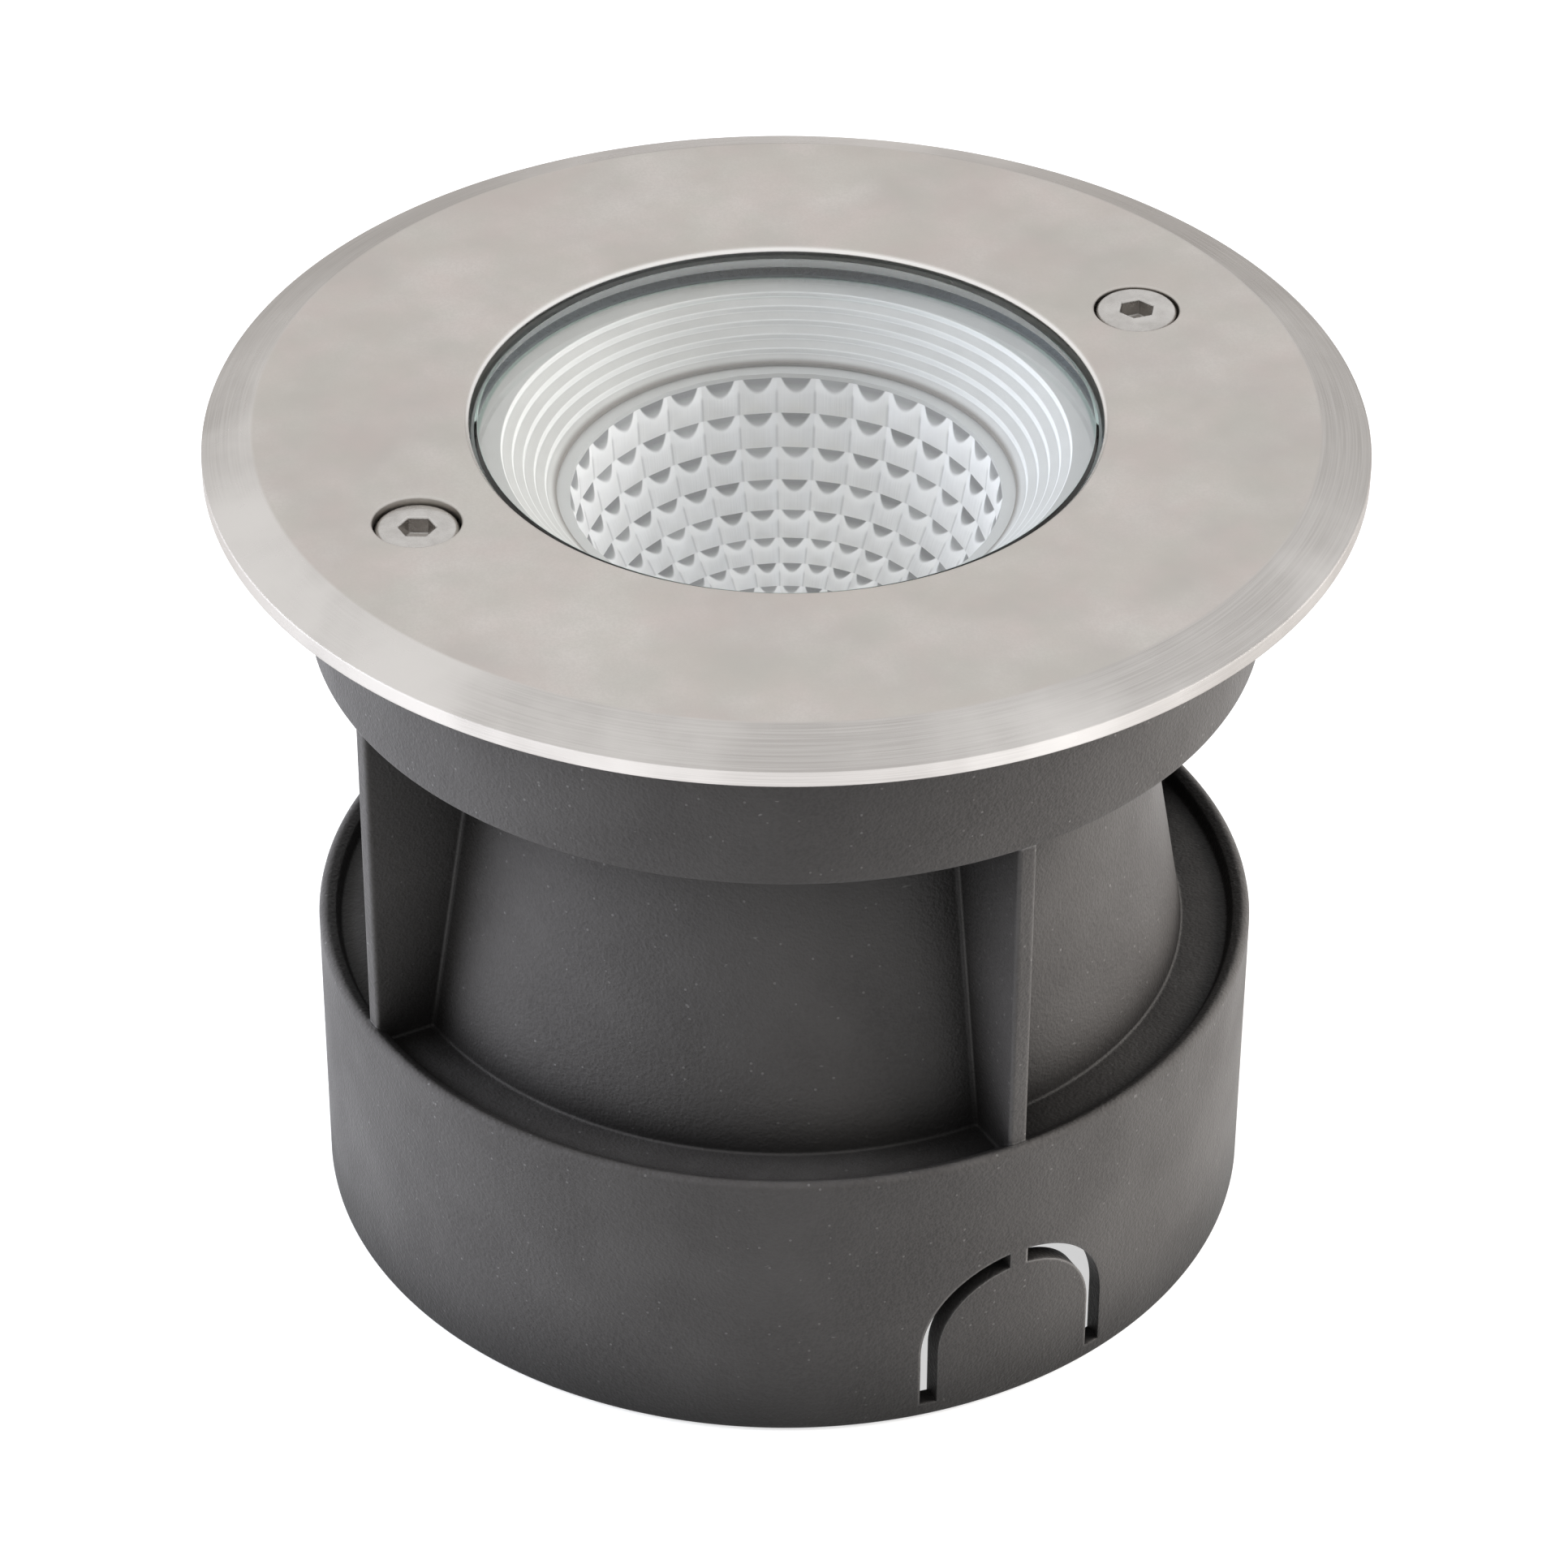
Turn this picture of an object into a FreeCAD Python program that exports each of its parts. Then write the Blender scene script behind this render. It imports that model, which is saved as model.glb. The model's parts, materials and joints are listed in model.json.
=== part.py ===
import FreeCAD, Part
import math
import os

# In-ground well light: a moulded mounting sleeve that stays in the ground, and a sealed
# luminaire that drops into it and is held by two hexagon-socket face screws.
# Millimetres. +Z up. The origin is the centre of the sleeve's bottom rim.

# ---- driving dimensions: mounting sleeve ----
skirt_height = 40.9
neck_height = 45.2
collar_height = 23.8
neck_taper = 7.6
gutter_width = 6.9
sleeve_wall = 2.5
rim_drop = 1.2
gutter_depth = 1.6
edge_round = 0.8
rib_count = 4
rib_thickness = 2.5
rib_nose_round = 0.6

# ---- driving dimensions: cable knockouts in the skirt ----
knockout_count = 2
knockout_width = 22.0
knockout_height = 21.3
knockout_slot = 2.25
knockout_foot = 2.2
knockout_web = 2.5

# ---- driving dimensions: trim ring ----
plate_overhang = 12.2
plate_thickness = 4.4
plate_edge_height = 2.0
bevel_width = 6.2
edge_break = 0.25
rebate_depth = 0.3
rebate_clearance = 0.3
opening_radius = 39.4

# ---- driving dimensions: face screws ----
screw_thread_radius = 3.0
screw_length = 14.0
head_radius = 5.2
head_height = 2.6
head_chamfer = 0.4
hex_key = 4.0
hex_depth = 1.9
counterbore_clearance = 0.45
counterbore_floor = 0.8
counterbore_lip = 0.25
shank_hole_clearance = 0.3
thread_clearance = 0.08
seal_thickness = {"left": 0.3, "right": 1.0}
seal_radius = 4.9
hex_turn = {"left": 0.0, "right": 30.0}
insert_radius = 4.0
insert_length = 12.0
insert_flange_height = 1.2
insert_flange_step = 0.6
boss_wall = 1.6
boss_gap = 1.8
boss_to_bowl = 0.65
boss_to_collar = 1.2
boss_bore_extra = 2.5

# ---- driving dimensions: glass and its seal ----
glass_recess = 1.05
glass_thickness = 7.0
glass_clearance = 0.25
glass_chamfer = 0.8
glass_step_width = 2.0
seal_lip = 0.8
seal_wall = 1.1
seal_floor = 0.6
seal_overlap = 1.9

# ---- driving dimensions: anti-glare baffle ----
baffle_gap = 0.25
baffle_flange = 1.2
baffle_land = 3.7
baffle_run = 6.7
baffle_depth = 7.1
baffle_steps = 5
baffle_wall = 1.2
baffle_lip_height = 0.6

# ---- driving dimensions: reflector ----
reflector_border = 1.6
reflector_semi_depth = 31.3
reflector_exit_radius = 7.5
reflector_columns = 34
reflector_rows = 11
reflector_row_shrink = 0.93
reflector_band = 0.65
reflector_wall = 1.1
reflector_flange = 1.2

# ---- driving dimensions: housing ----
housing_wall = 2.5
housing_flange_thickness = 3.0
housing_flange_rim = 1.0
bowl_floor = 4.0
chamber_clearance = 3.4
core_wall = 2.6
web_thickness = 4.0
blind_hole_skin = 1.0
rear_chamber_depth = 25.0
rear_wall = 4.7
fin_count = 20
fin_depth = 6.4
fin_thickness = 2.0
neck_clearance = 0.9
fin_foot = 3.0
slide_gap = 0.15
piece_gap = 0.1
scallop_clearance = 0.3

# ---- driving dimensions: ring screws under the flange ----
ring_screw_count = 4
ring_screw_radius = 2.0
ring_screw_head_radius = 3.5
ring_screw_head_height = 2.6
ring_screw_depth = 2.9
ring_screw_turn = 45.0
ring_screw_key = 3.0
ring_screw_socket_depth = 1.3

# ---- driving dimensions: light source ----
pad_thickness = 0.3
board_size = 19.0
board_thickness = 1.0
phosphor_radius = 5.5
phosphor_height = 0.6
holder_radius = 18.5
holder_opening = 7.2
holder_recess = 1.0
small_screw_radius = 1.5
small_head_radius = 2.7
small_head_height = 1.6
small_socket_depth = 0.9
small_slot_width = 0.8
holder_screw_circle = 15.2
holder_screw_length = 4.5

# ---- driving dimensions: driver and its wiring ----
driver_end_gap = 3.0
driver_side_gap = 13.5
driver_height = 14.0
driver_shell = 1.6
driver_round = 2.5
driver_ear = 6.5
driver_ear_width = 8.0
driver_ear_thickness = 2.0
lead_radius = 0.8
lead_pitch = 4.4
lead_bend = 2.6
output_run = 6.5
supply_run = 4.5
lead_hole_radius = 3.7
block_side_gap = 1.7
block_width = 8.5
block_height = 9.0
block_gap = 1.25
block_entry_height = 6.8
block_bore = 1.3
block_screw_depth = 3.0
block_screw_sink = 0.6
earth_screw_x = -17.0
earth_screw_y = 4.0

# ---- driving dimensions: rear cover, vent and cable gland ----
cover_thickness = 4.0
spigot_height = 4.5
spigot_wall = 4.2
oring_section = 0.9
oring_squeeze = 0.02
cover_screw_count = 4
cover_screw_length = 8.0
vent_gap = 1.7
vent_radius = 4.0
vent_head_radius = 5.6
vent_head_height = 2.6
vent_dish_depth = 0.9
gland_thread_radius = 8.0
gland_thread_length = 9.5
gland_flats = 22.0
gland_hex_height = 5.0
gland_neck_radius = 9.0
gland_neck_length = 8.0
gland_bore = 5.2
gland_seal_bore = 3.6
gland_seal_wall = 2.6
gland_seal_length = 9.0
gland_nut_length = 13.0
gland_nut_gap = 0.5
gland_dome_height = 4.3
locknut_height = 4.0

# ---- radii that follow from the driving dimensions, from the glass outwards ----
glass_radius = opening_radius - glass_clearance
glass_flange_radius = glass_radius + glass_step_width
seal_outer_radius = glass_flange_radius + seal_wall
seal_inner_radius = glass_flange_radius - seal_overlap
bowl_radius = seal_outer_radius + housing_wall
boss_radius = insert_radius + boss_wall
screw_circle_radius = bowl_radius + boss_to_bowl + boss_radius
collar_bore = screw_circle_radius + boss_radius + boss_to_collar
collar_radius = collar_bore + sleeve_wall
rebate_radius = collar_radius + rebate_clearance
plate_radius = collar_radius + plate_overhang
ring_screw_circle = bowl_radius + ring_screw_head_radius + housing_flange_rim / 2
housing_flange_radius = ring_screw_circle + ring_screw_head_radius + housing_flange_rim

baffle_flange_radius = seal_inner_radius - slide_gap
baffle_mouth_radius = baffle_flange_radius - baffle_land
baffle_lip_radius = baffle_mouth_radius - baffle_run
baffle_seat_bore = baffle_mouth_radius + baffle_wall + slide_gap
reflector_flange_radius = baffle_seat_bore - slide_gap
reflector_radius = baffle_lip_radius - reflector_border

chamber_radius = reflector_radius + reflector_wall + chamber_clearance
core_radius = chamber_radius + core_wall
fin_radius = core_radius + fin_depth
neck_bore = fin_radius + neck_clearance
neck_top_radius = neck_bore + sleeve_wall
neck_base_radius = neck_top_radius + neck_taper
skirt_bore = neck_base_radius + gutter_width
skirt_radius = skirt_bore + sleeve_wall

rear_chamber_radius = core_radius - rear_wall
cover_screw_circle = (rear_chamber_radius + core_radius) / 2
driver_length = 2 * (rear_chamber_radius - driver_end_gap - driver_ear)
driver_width = 2 * (rear_chamber_radius - driver_side_gap)
gland_corner_radius = gland_flats / 2 / math.cos(math.pi / 6)
gland_seal_radius = gland_seal_bore + gland_seal_wall
vent_offset = gland_corner_radius + vent_gap + vent_head_radius
block_offset = gland_flats / 2 + block_gap + block_width / 2
spigot_bore = rear_chamber_radius - piece_gap - spigot_wall
block_far_edge = block_offset + block_width / 2
block_length = 2 * math.sqrt((spigot_bore - block_side_gap) ** 2 - block_far_edge ** 2)
block_pole = block_length / 3
earth_entry_x = -block_pole

# ---- levels that follow from the driving dimensions, from the collar down ----
collar_z = skirt_height + neck_height
shelf_top_z = collar_z + sleeve_wall
plate_z = collar_z + collar_height
top_z = plate_z + plate_thickness
rim_z = plate_z - rebate_depth
boss_top_z = plate_z - boss_gap
flange_bottom_z = plate_z - housing_flange_thickness

glass_top_z = top_z - glass_recess
glass_bottom_z = glass_top_z - glass_thickness
glass_step_z = plate_z - seal_lip
seal_bottom_z = glass_bottom_z - seal_floor
baffle_top_z = glass_bottom_z - baffle_gap
baffle_seat_z = baffle_top_z - baffle_flange
baffle_bottom_z = baffle_top_z - baffle_depth
reflector_top_z = baffle_bottom_z
reflector_seat_z = reflector_top_z - reflector_flange
reflector_end_angle = math.acos(reflector_exit_radius / reflector_radius)
reflector_bottom_z = reflector_top_z - reflector_semi_depth * math.sin(reflector_end_angle)
bowl_bottom_z = reflector_seat_z - bowl_floor

board_z = reflector_bottom_z - phosphor_height - board_thickness - piece_gap
pad_z = board_z - pad_thickness
web_top_z = pad_z
web_bottom_z = web_top_z - web_thickness
driver_top_z = web_bottom_z - pad_thickness
driver_bottom_z = driver_top_z - driver_height
core_bottom_z = web_bottom_z - rear_chamber_depth
cover_bottom_z = core_bottom_z - cover_thickness
earth_hole_z = core_bottom_z - cover_thickness / 2
gland_top_z = cover_bottom_z + gland_thread_length
gland_hex_z = cover_bottom_z - gland_hex_height
gland_neck_z = gland_hex_z - gland_neck_length
gland_nut_top_z = gland_hex_z - gland_nut_gap
gland_nut_z = gland_nut_top_z - gland_nut_length

sides = {"left": -1.0, "right": 1.0}
axis_z = FreeCAD.Vector(0, 0, 1)


def vec(x, y, z=0.0):
    return FreeCAD.Vector(x, y, z)


def revolve(points):
    """Turn a closed outline of (radius, height) points once round the Z axis."""
    outline = [vec(r, 0, z) for r, z in points]
    wire = Part.makePolygon(outline + outline[:1])
    return Part.Face(wire).revolve(vec(0, 0, 0), axis_z, 360)


def cylinder(radius, bottom, top, x=0.0, y=0.0):
    return Part.makeCylinder(radius, top - bottom, vec(x, y, bottom))


def tube(outer, inner, bottom, top, x=0.0, y=0.0):
    return cylinder(outer, bottom, top, x, y).cut(cylinder(inner, bottom, top, x, y))


def box(x, y, z):
    """A box between three (low, high) pairs."""
    return Part.makeBox(x[1] - x[0], y[1] - y[0], z[1] - z[0], vec(x[0], y[0], z[0]))


def hexagon(flats, bottom, top, x=0.0, y=0.0, turn=0.0):
    corner = flats / 2 / math.cos(math.pi / 6)
    points = []
    for side in range(7):
        angle = math.radians(60 * side + turn)
        points.append(vec(x + corner * math.cos(angle), y + corner * math.sin(angle), bottom))
    return Part.Face(Part.makePolygon(points)).extrude(vec(0, 0, top - bottom))


def around(shape, count, first=0.0):
    """Copies of a shape at equal angles round the Z axis."""
    copies = []
    for index in range(count):
        copy = shape.copy()
        copy.rotate(vec(0, 0, 0), axis_z, first + 360.0 * index / count)
        copies.append(copy)
    return copies


def ring_places(radius, count, first=0.0):
    places = []
    for index in range(count):
        angle = math.radians(first + 360.0 * index / count)
        places.append((radius * math.cos(angle), radius * math.sin(angle)))
    return places


def neck_outside(z):
    """Outer radius of the tapering neck at a height."""
    share = (collar_z - z) / neck_height
    return neck_top_radius + share * (neck_base_radius - neck_top_radius)


# ---- mounting sleeve ----

def sleeve_shell():
    gutter_z = skirt_height - rim_drop - gutter_depth
    under_gutter_z = gutter_z - sleeve_wall
    rim_inner = skirt_radius - sleeve_wall
    outline = [
        (skirt_bore, 0),
        (skirt_radius - edge_round, 0),
        (skirt_radius, edge_round),
        (skirt_radius, skirt_height - edge_round),
        (skirt_radius - edge_round, skirt_height),
        (rim_inner, skirt_height - rim_drop),
        (rim_inner - edge_round / 2, gutter_z),
        (neck_outside(gutter_z), gutter_z),
        (neck_top_radius, collar_z),
        (collar_radius - edge_round, collar_z),
        (collar_radius, collar_z + edge_round),
        (collar_radius, plate_z),
        (collar_bore, plate_z),
        (collar_bore, shelf_top_z),
        (neck_bore, shelf_top_z),
        (neck_bore, collar_z),
        (neck_outside(under_gutter_z) - sleeve_wall, under_gutter_z),
        (skirt_bore, under_gutter_z),
    ]
    return revolve(outline)


def sleeve_rib():
    """One upright rib from the neck to the sleeve's outer face, under the collar."""
    foot_z = skirt_height - rim_drop - gutter_depth - sleeve_wall / 2
    inner = neck_top_radius - sleeve_wall / 2
    outer = collar_radius - edge_round / 2
    foot = neck_outside(foot_z) - sleeve_wall / 2
    corners = [
        vec(inner, 0, collar_z + sleeve_wall / 2),
        vec(outer, 0, collar_z + sleeve_wall / 2),
        vec(outer, 0, foot_z),
        vec(foot, 0, foot_z),
    ]
    face = Part.Face(Part.makePolygon(corners + corners[:1]))
    face.translate(vec(0, -rib_thickness / 2, 0))
    blank = face.extrude(vec(0, rib_thickness, 0))
    boxes = [(edge, edge.BoundBox) for edge in blank.Edges]
    nose = [edge for edge, held in boxes if held.XMin > outer - rib_nose_round and held.ZLength > rib_thickness]
    return blank.makeFillet(rib_nose_round, nose)


def arch(width, height, foot):
    """Outline of a round-topped doorway in the XZ plane, made solid through the skirt's wall."""
    half = width / 2
    spring = height - half
    middle = Part.Arc(vec(half, 0, spring), vec(0, 0, height), vec(-half, 0, spring)).toShape()
    left = Part.LineSegment(vec(-half, 0, spring), vec(-half, 0, foot)).toShape()
    floor = Part.LineSegment(vec(-half, 0, foot), vec(half, 0, foot)).toShape()
    right = Part.LineSegment(vec(half, 0, foot), vec(half, 0, spring)).toShape()
    face = Part.Face(Part.Wire([middle, left, floor, right]))
    depth = 3 * sleeve_wall
    face.translate(vec(0, -skirt_radius - sleeve_wall, 0))
    return face.extrude(vec(0, depth + sleeve_wall, 0))


def knockout_slots():
    """The slot round one break-out tab, with a web left at the top of the arch."""
    outer = arch(knockout_width + 2 * knockout_slot, knockout_height + knockout_slot, knockout_foot)
    inner = arch(knockout_width, knockout_height, 0)
    reach = skirt_radius + 2 * sleeve_wall
    web = box((-knockout_web / 2, knockout_web / 2), (-reach, 0), (knockout_foot, skirt_height))
    return outer.cut(inner).cut(web)


def screw_boss(side):
    """A boss that stands on the shelf for a threaded insert, tied to the collar by a web."""
    x = side * screw_circle_radius
    post = cylinder(boss_radius, collar_z + sleeve_wall / 2, boss_top_z, x)
    near, far = sorted((x, side * (collar_radius - sleeve_wall / 2)))
    half = sleeve_wall / 2
    web = box((near, far), (-half, half), (collar_z + sleeve_wall / 2, boss_top_z - insert_length / 2))
    return post.fuse(web)


def mounting_sleeve():
    shape = sleeve_shell()
    ribs = around(sleeve_rib(), rib_count)
    bosses = [screw_boss(side) for side in sides.values()]
    shape = shape.fuse(ribs + bosses)
    cuts = around(knockout_slots(), knockout_count)
    for side in sides.values():
        x = side * screw_circle_radius
        insert_z = boss_top_z - insert_length
        cuts.append(cylinder(insert_radius, insert_z, plate_z, x))
        flange_radius = insert_radius + insert_flange_step
        cuts.append(cylinder(flange_radius, boss_top_z - insert_flange_height, plate_z, x))
        tip_bore = screw_thread_radius + shank_hole_clearance
        cuts.append(cylinder(tip_bore, insert_z - boss_bore_extra, plate_z, x))
    return shape.cut(cuts).removeSplitter()


def threaded_inserts():
    inserts = []
    for side in sides.values():
        x = side * screw_circle_radius
        body = cylinder(insert_radius, boss_top_z - insert_length, boss_top_z, x)
        flange_radius = insert_radius + insert_flange_step
        flange = cylinder(flange_radius, boss_top_z - insert_flange_height, boss_top_z, x)
        bore_radius = screw_thread_radius + thread_clearance
        bore = cylinder(bore_radius, boss_top_z - insert_length, boss_top_z, x)
        inserts.append(body.fuse(flange).cut(bore).removeSplitter())
    return Part.makeCompound(inserts)


# ---- trim ring and face screws ----

def trim_ring():
    """Plate whose underside has a shallow rebate round the opening, where the collar's top sits."""
    outline = [
        (opening_radius, plate_z),
        (rebate_radius, plate_z),
        (rebate_radius, rim_z),
        (plate_radius - edge_break, rim_z),
        (plate_radius, rim_z + edge_break),
        (plate_radius, plate_z + plate_edge_height - edge_break),
        (plate_radius - edge_break, plate_z + plate_edge_height),
        (plate_radius - bevel_width, top_z),
        (opening_radius + edge_break, top_z),
        (opening_radius, top_z - edge_break),
    ]
    shape = revolve(outline)
    cuts = []
    for side in sides.values():
        x = side * screw_circle_radius
        floor_z = plate_z + counterbore_floor
        bore = head_radius + counterbore_clearance
        cuts.append(cylinder(bore, floor_z, top_z, x))
        lip_start = vec(x, 0, top_z - counterbore_lip)
        cuts.append(Part.makeCone(bore, bore + counterbore_lip, counterbore_lip, lip_start))
        cuts.append(cylinder(screw_thread_radius + shank_hole_clearance, plate_z, top_z, x))
    for x, y in ring_places(ring_screw_circle, ring_screw_count, ring_screw_turn):
        cuts.append(cylinder(ring_screw_radius, plate_z, plate_z + ring_screw_depth, x, y))
    return shape.cut(cuts)


def screw_seat_z(name):
    return plate_z + counterbore_floor + seal_thickness[name]


def face_screw(name):
    x = sides[name] * screw_circle_radius
    seat_z = screw_seat_z(name)
    head_top = seat_z + head_height
    outline = [
        (0, seat_z - screw_length),
        (screw_thread_radius - head_chamfer, seat_z - screw_length),
        (screw_thread_radius, seat_z - screw_length + head_chamfer),
        (screw_thread_radius, seat_z),
        (head_radius, seat_z),
        (head_radius, head_top - head_chamfer),
        (head_radius - head_chamfer, head_top),
        (0, head_top),
    ]
    shape = revolve(outline)
    shape.translate(vec(x, 0, 0))
    socket = hexagon(hex_key, head_top - hex_depth, head_top, x, 0, hex_turn[name])
    return shape.cut(socket)


def screw_seal(name):
    x = sides[name] * screw_circle_radius
    bore = screw_thread_radius + thread_clearance
    return tube(seal_radius, bore, plate_z + counterbore_floor, screw_seat_z(name), x)


# ---- glass, seal and optics ----

def glass_lens():
    outline = [
        (0, glass_bottom_z),
        (glass_flange_radius, glass_bottom_z),
        (glass_flange_radius, glass_step_z),
        (glass_radius, glass_step_z),
        (glass_radius, glass_top_z - glass_chamfer),
        (glass_radius - glass_chamfer, glass_top_z),
        (0, glass_top_z),
    ]
    return revolve(outline)


def lens_gasket():
    outline = [
        (seal_inner_radius, seal_bottom_z),
        (seal_outer_radius, seal_bottom_z),
        (seal_outer_radius, plate_z),
        (opening_radius, plate_z),
        (opening_radius, glass_step_z),
        (glass_flange_radius, glass_step_z),
        (glass_flange_radius, glass_bottom_z),
        (seal_inner_radius, glass_bottom_z),
    ]
    return revolve(outline)


def baffle_ring():
    """Anti-glare cone whose inner face goes down in equal steps to a plain lip."""
    lip_z = baffle_bottom_z + baffle_lip_height
    step_out = (baffle_mouth_radius - baffle_lip_radius) / baffle_steps
    step_down = (baffle_top_z - lip_z) / baffle_steps
    outline = [(baffle_flange_radius, baffle_seat_z), (baffle_flange_radius, baffle_top_z)]
    for step in range(baffle_steps):
        radius = baffle_mouth_radius - step * step_out
        level = baffle_top_z - step * step_down
        outline.append((radius, level))
        outline.append((radius, level - step_down / 2))
    outline.append((baffle_lip_radius, lip_z))
    outline.append((baffle_lip_radius, baffle_bottom_z))
    outline.append((baffle_lip_radius + baffle_wall, baffle_bottom_z))
    outline.append((baffle_mouth_radius + baffle_wall, baffle_seat_z))
    return revolve(outline)


def reflector_angles():
    """Angles down the ellipse: the rim, the plain band's end, then rows that each shrink a little."""
    start = math.asin(reflector_band / reflector_semi_depth)
    spans = [reflector_row_shrink ** row for row in range(reflector_rows)]
    scale = (reflector_end_angle - start) / sum(spans)
    return [0] + [start + scale * sum(spans[:row]) for row in range(reflector_rows + 1)]


def facet_corners(angle):
    """Corners of one level of the ellipse-shaped bowl."""
    radius = reflector_radius * math.cos(angle)
    level = reflector_top_z - reflector_semi_depth * math.sin(angle)
    corners = []
    for column in range(reflector_columns):
        turn = 2 * math.pi * column / reflector_columns
        corners.append(vec(radius * math.cos(turn), radius * math.sin(turn), level))
    return corners


def faceted_bowl():
    """The reflector's inner space as a solid bounded by flat facets."""
    levels = [facet_corners(angle) for angle in reflector_angles()]
    faces = []
    for upper, lower in zip(levels[:-1], levels[1:]):
        for column in range(reflector_columns):
            following = (column + 1) % reflector_columns
            corners = [upper[column], upper[following], lower[following], lower[column]]
            faces.append(Part.Face(Part.makePolygon(corners + corners[:1])))
    for ends in (levels[0], levels[-1]):
        faces.append(Part.Face(Part.makePolygon(ends + ends[:1])))
    return Part.Solid(Part.Shell(faces))


def reflector():
    depth = reflector_top_z - reflector_bottom_z
    outer_radius = reflector_radius + reflector_wall
    outer_semi_depth = reflector_semi_depth + reflector_wall
    start = math.asin(reflector_flange / outer_semi_depth)
    end = math.asin(depth / outer_semi_depth)
    shell = [(0, reflector_bottom_z)]
    for row in range(reflector_rows, -1, -1):
        angle = start + (end - start) * row / reflector_rows
        shell.append((outer_radius * math.cos(angle), reflector_top_z - outer_semi_depth * math.sin(angle)))
    shell.append((reflector_flange_radius, reflector_seat_z))
    shell.append((reflector_flange_radius, reflector_top_z))
    shell.append((0, reflector_top_z))
    return revolve(shell).cut(faceted_bowl())


# ---- housing ----

def housing_outside():
    outline = [
        (0, core_bottom_z),
        (core_radius, core_bottom_z),
        (core_radius, bowl_bottom_z),
        (bowl_radius - edge_round, bowl_bottom_z),
        (bowl_radius, bowl_bottom_z + edge_round),
        (bowl_radius, flange_bottom_z),
        (housing_flange_radius, flange_bottom_z),
        (housing_flange_radius, plate_z),
        (0, plate_z),
    ]
    return revolve(outline)


def cooling_fin():
    """One upright cooling fin whose foot is cut back at an angle."""
    inner = core_radius - core_wall / 2
    corners = [
        vec(inner, 0, bowl_bottom_z + bowl_floor / 2),
        vec(fin_radius, 0, bowl_bottom_z + bowl_floor / 2),
        vec(fin_radius, 0, core_bottom_z + 2 * fin_foot),
        vec(core_radius, 0, core_bottom_z + fin_foot),
        vec(inner, 0, core_bottom_z + fin_foot),
    ]
    face = Part.Face(Part.makePolygon(corners + corners[:1]))
    face.translate(vec(0, -fin_thickness / 2, 0))
    return face.extrude(vec(0, fin_thickness, 0))


def housing_inside():
    outline = [
        (0, web_top_z),
        (chamber_radius, web_top_z),
        (chamber_radius, reflector_seat_z),
        (baffle_seat_bore, reflector_seat_z),
        (baffle_seat_bore, baffle_seat_z),
        (seal_inner_radius, baffle_seat_z),
        (seal_inner_radius, seal_bottom_z),
        (seal_outer_radius, seal_bottom_z),
        (seal_outer_radius, plate_z),
        (0, plate_z),
    ]
    return revolve(outline)


def housing():
    fins = around(cooling_fin(), fin_count, 180.0 / fin_count)
    shape = housing_outside().fuse(fins)
    cuts = [housing_inside(), cylinder(rear_chamber_radius, core_bottom_z, web_bottom_z)]
    for side in sides.values():
        x = side * screw_circle_radius
        cuts.append(cylinder(boss_radius + scallop_clearance, flange_bottom_z, plate_z, x))
    for x, y in ring_places(ring_screw_circle, ring_screw_count, ring_screw_turn):
        cuts.append(cylinder(ring_screw_radius, flange_bottom_z, plate_z, x, y))
    for x, y in ring_places(holder_screw_circle, 2):
        cuts.append(cylinder(small_screw_radius, web_bottom_z, web_top_z, x, y))
    for x, y in ring_places(driver_length / 2 + driver_ear / 2, 2):
        cuts.append(cylinder(small_screw_radius, web_bottom_z, web_top_z - blind_hole_skin, x, y))
    for x, y in ring_places(cover_screw_circle, cover_screw_count, ring_screw_turn):
        cuts.append(cylinder(small_screw_radius, core_bottom_z, core_bottom_z + cover_screw_length, x, y))
    cuts.append(cylinder(lead_hole_radius, web_bottom_z, web_top_z, 0, -lead_plane()))
    return shape.cut(cuts)


def ring_screws():
    screws = []
    for x, y in ring_places(ring_screw_circle, ring_screw_count, ring_screw_turn):
        head_z = flange_bottom_z - ring_screw_head_height
        head = cylinder(ring_screw_head_radius, head_z, flange_bottom_z, x, y)
        shank = cylinder(ring_screw_radius, flange_bottom_z, plate_z + ring_screw_depth, x, y)
        socket = hexagon(ring_screw_key, head_z, head_z + ring_screw_socket_depth, x, y)
        screws.append(head.fuse(shank).cut(socket))
    return Part.makeCompound(screws)


# ---- light source ----

def thermal_pad():
    half = board_size / 2
    return box((-half, half), (-half, half), (pad_z, board_z))


def led_board():
    half = board_size / 2
    return box((-half, half), (-half, half), (board_z, board_z + board_thickness))


def led_phosphor():
    bottom = board_z + board_thickness
    return cylinder(phosphor_radius, bottom, bottom + phosphor_height)


def led_holder():
    """Clamping ring over the board, with a pocket for it and two wire entries."""
    shape = cylinder(holder_radius, pad_z, reflector_bottom_z)
    half = board_size / 2 + slide_gap
    cuts = [
        box((-half, half), (-half, half), (pad_z, board_z + board_thickness)),
        cylinder(holder_opening, pad_z, reflector_bottom_z),
    ]
    for x, y in ring_places(holder_screw_circle, 2):
        recess_z = reflector_bottom_z - holder_recess
        cuts.append(cylinder(small_screw_radius, pad_z, reflector_bottom_z, x, y))
        cuts.append(cylinder(small_head_radius + slide_gap, recess_z, reflector_bottom_z, x, y))
    return shape.cut(cuts)


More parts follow.
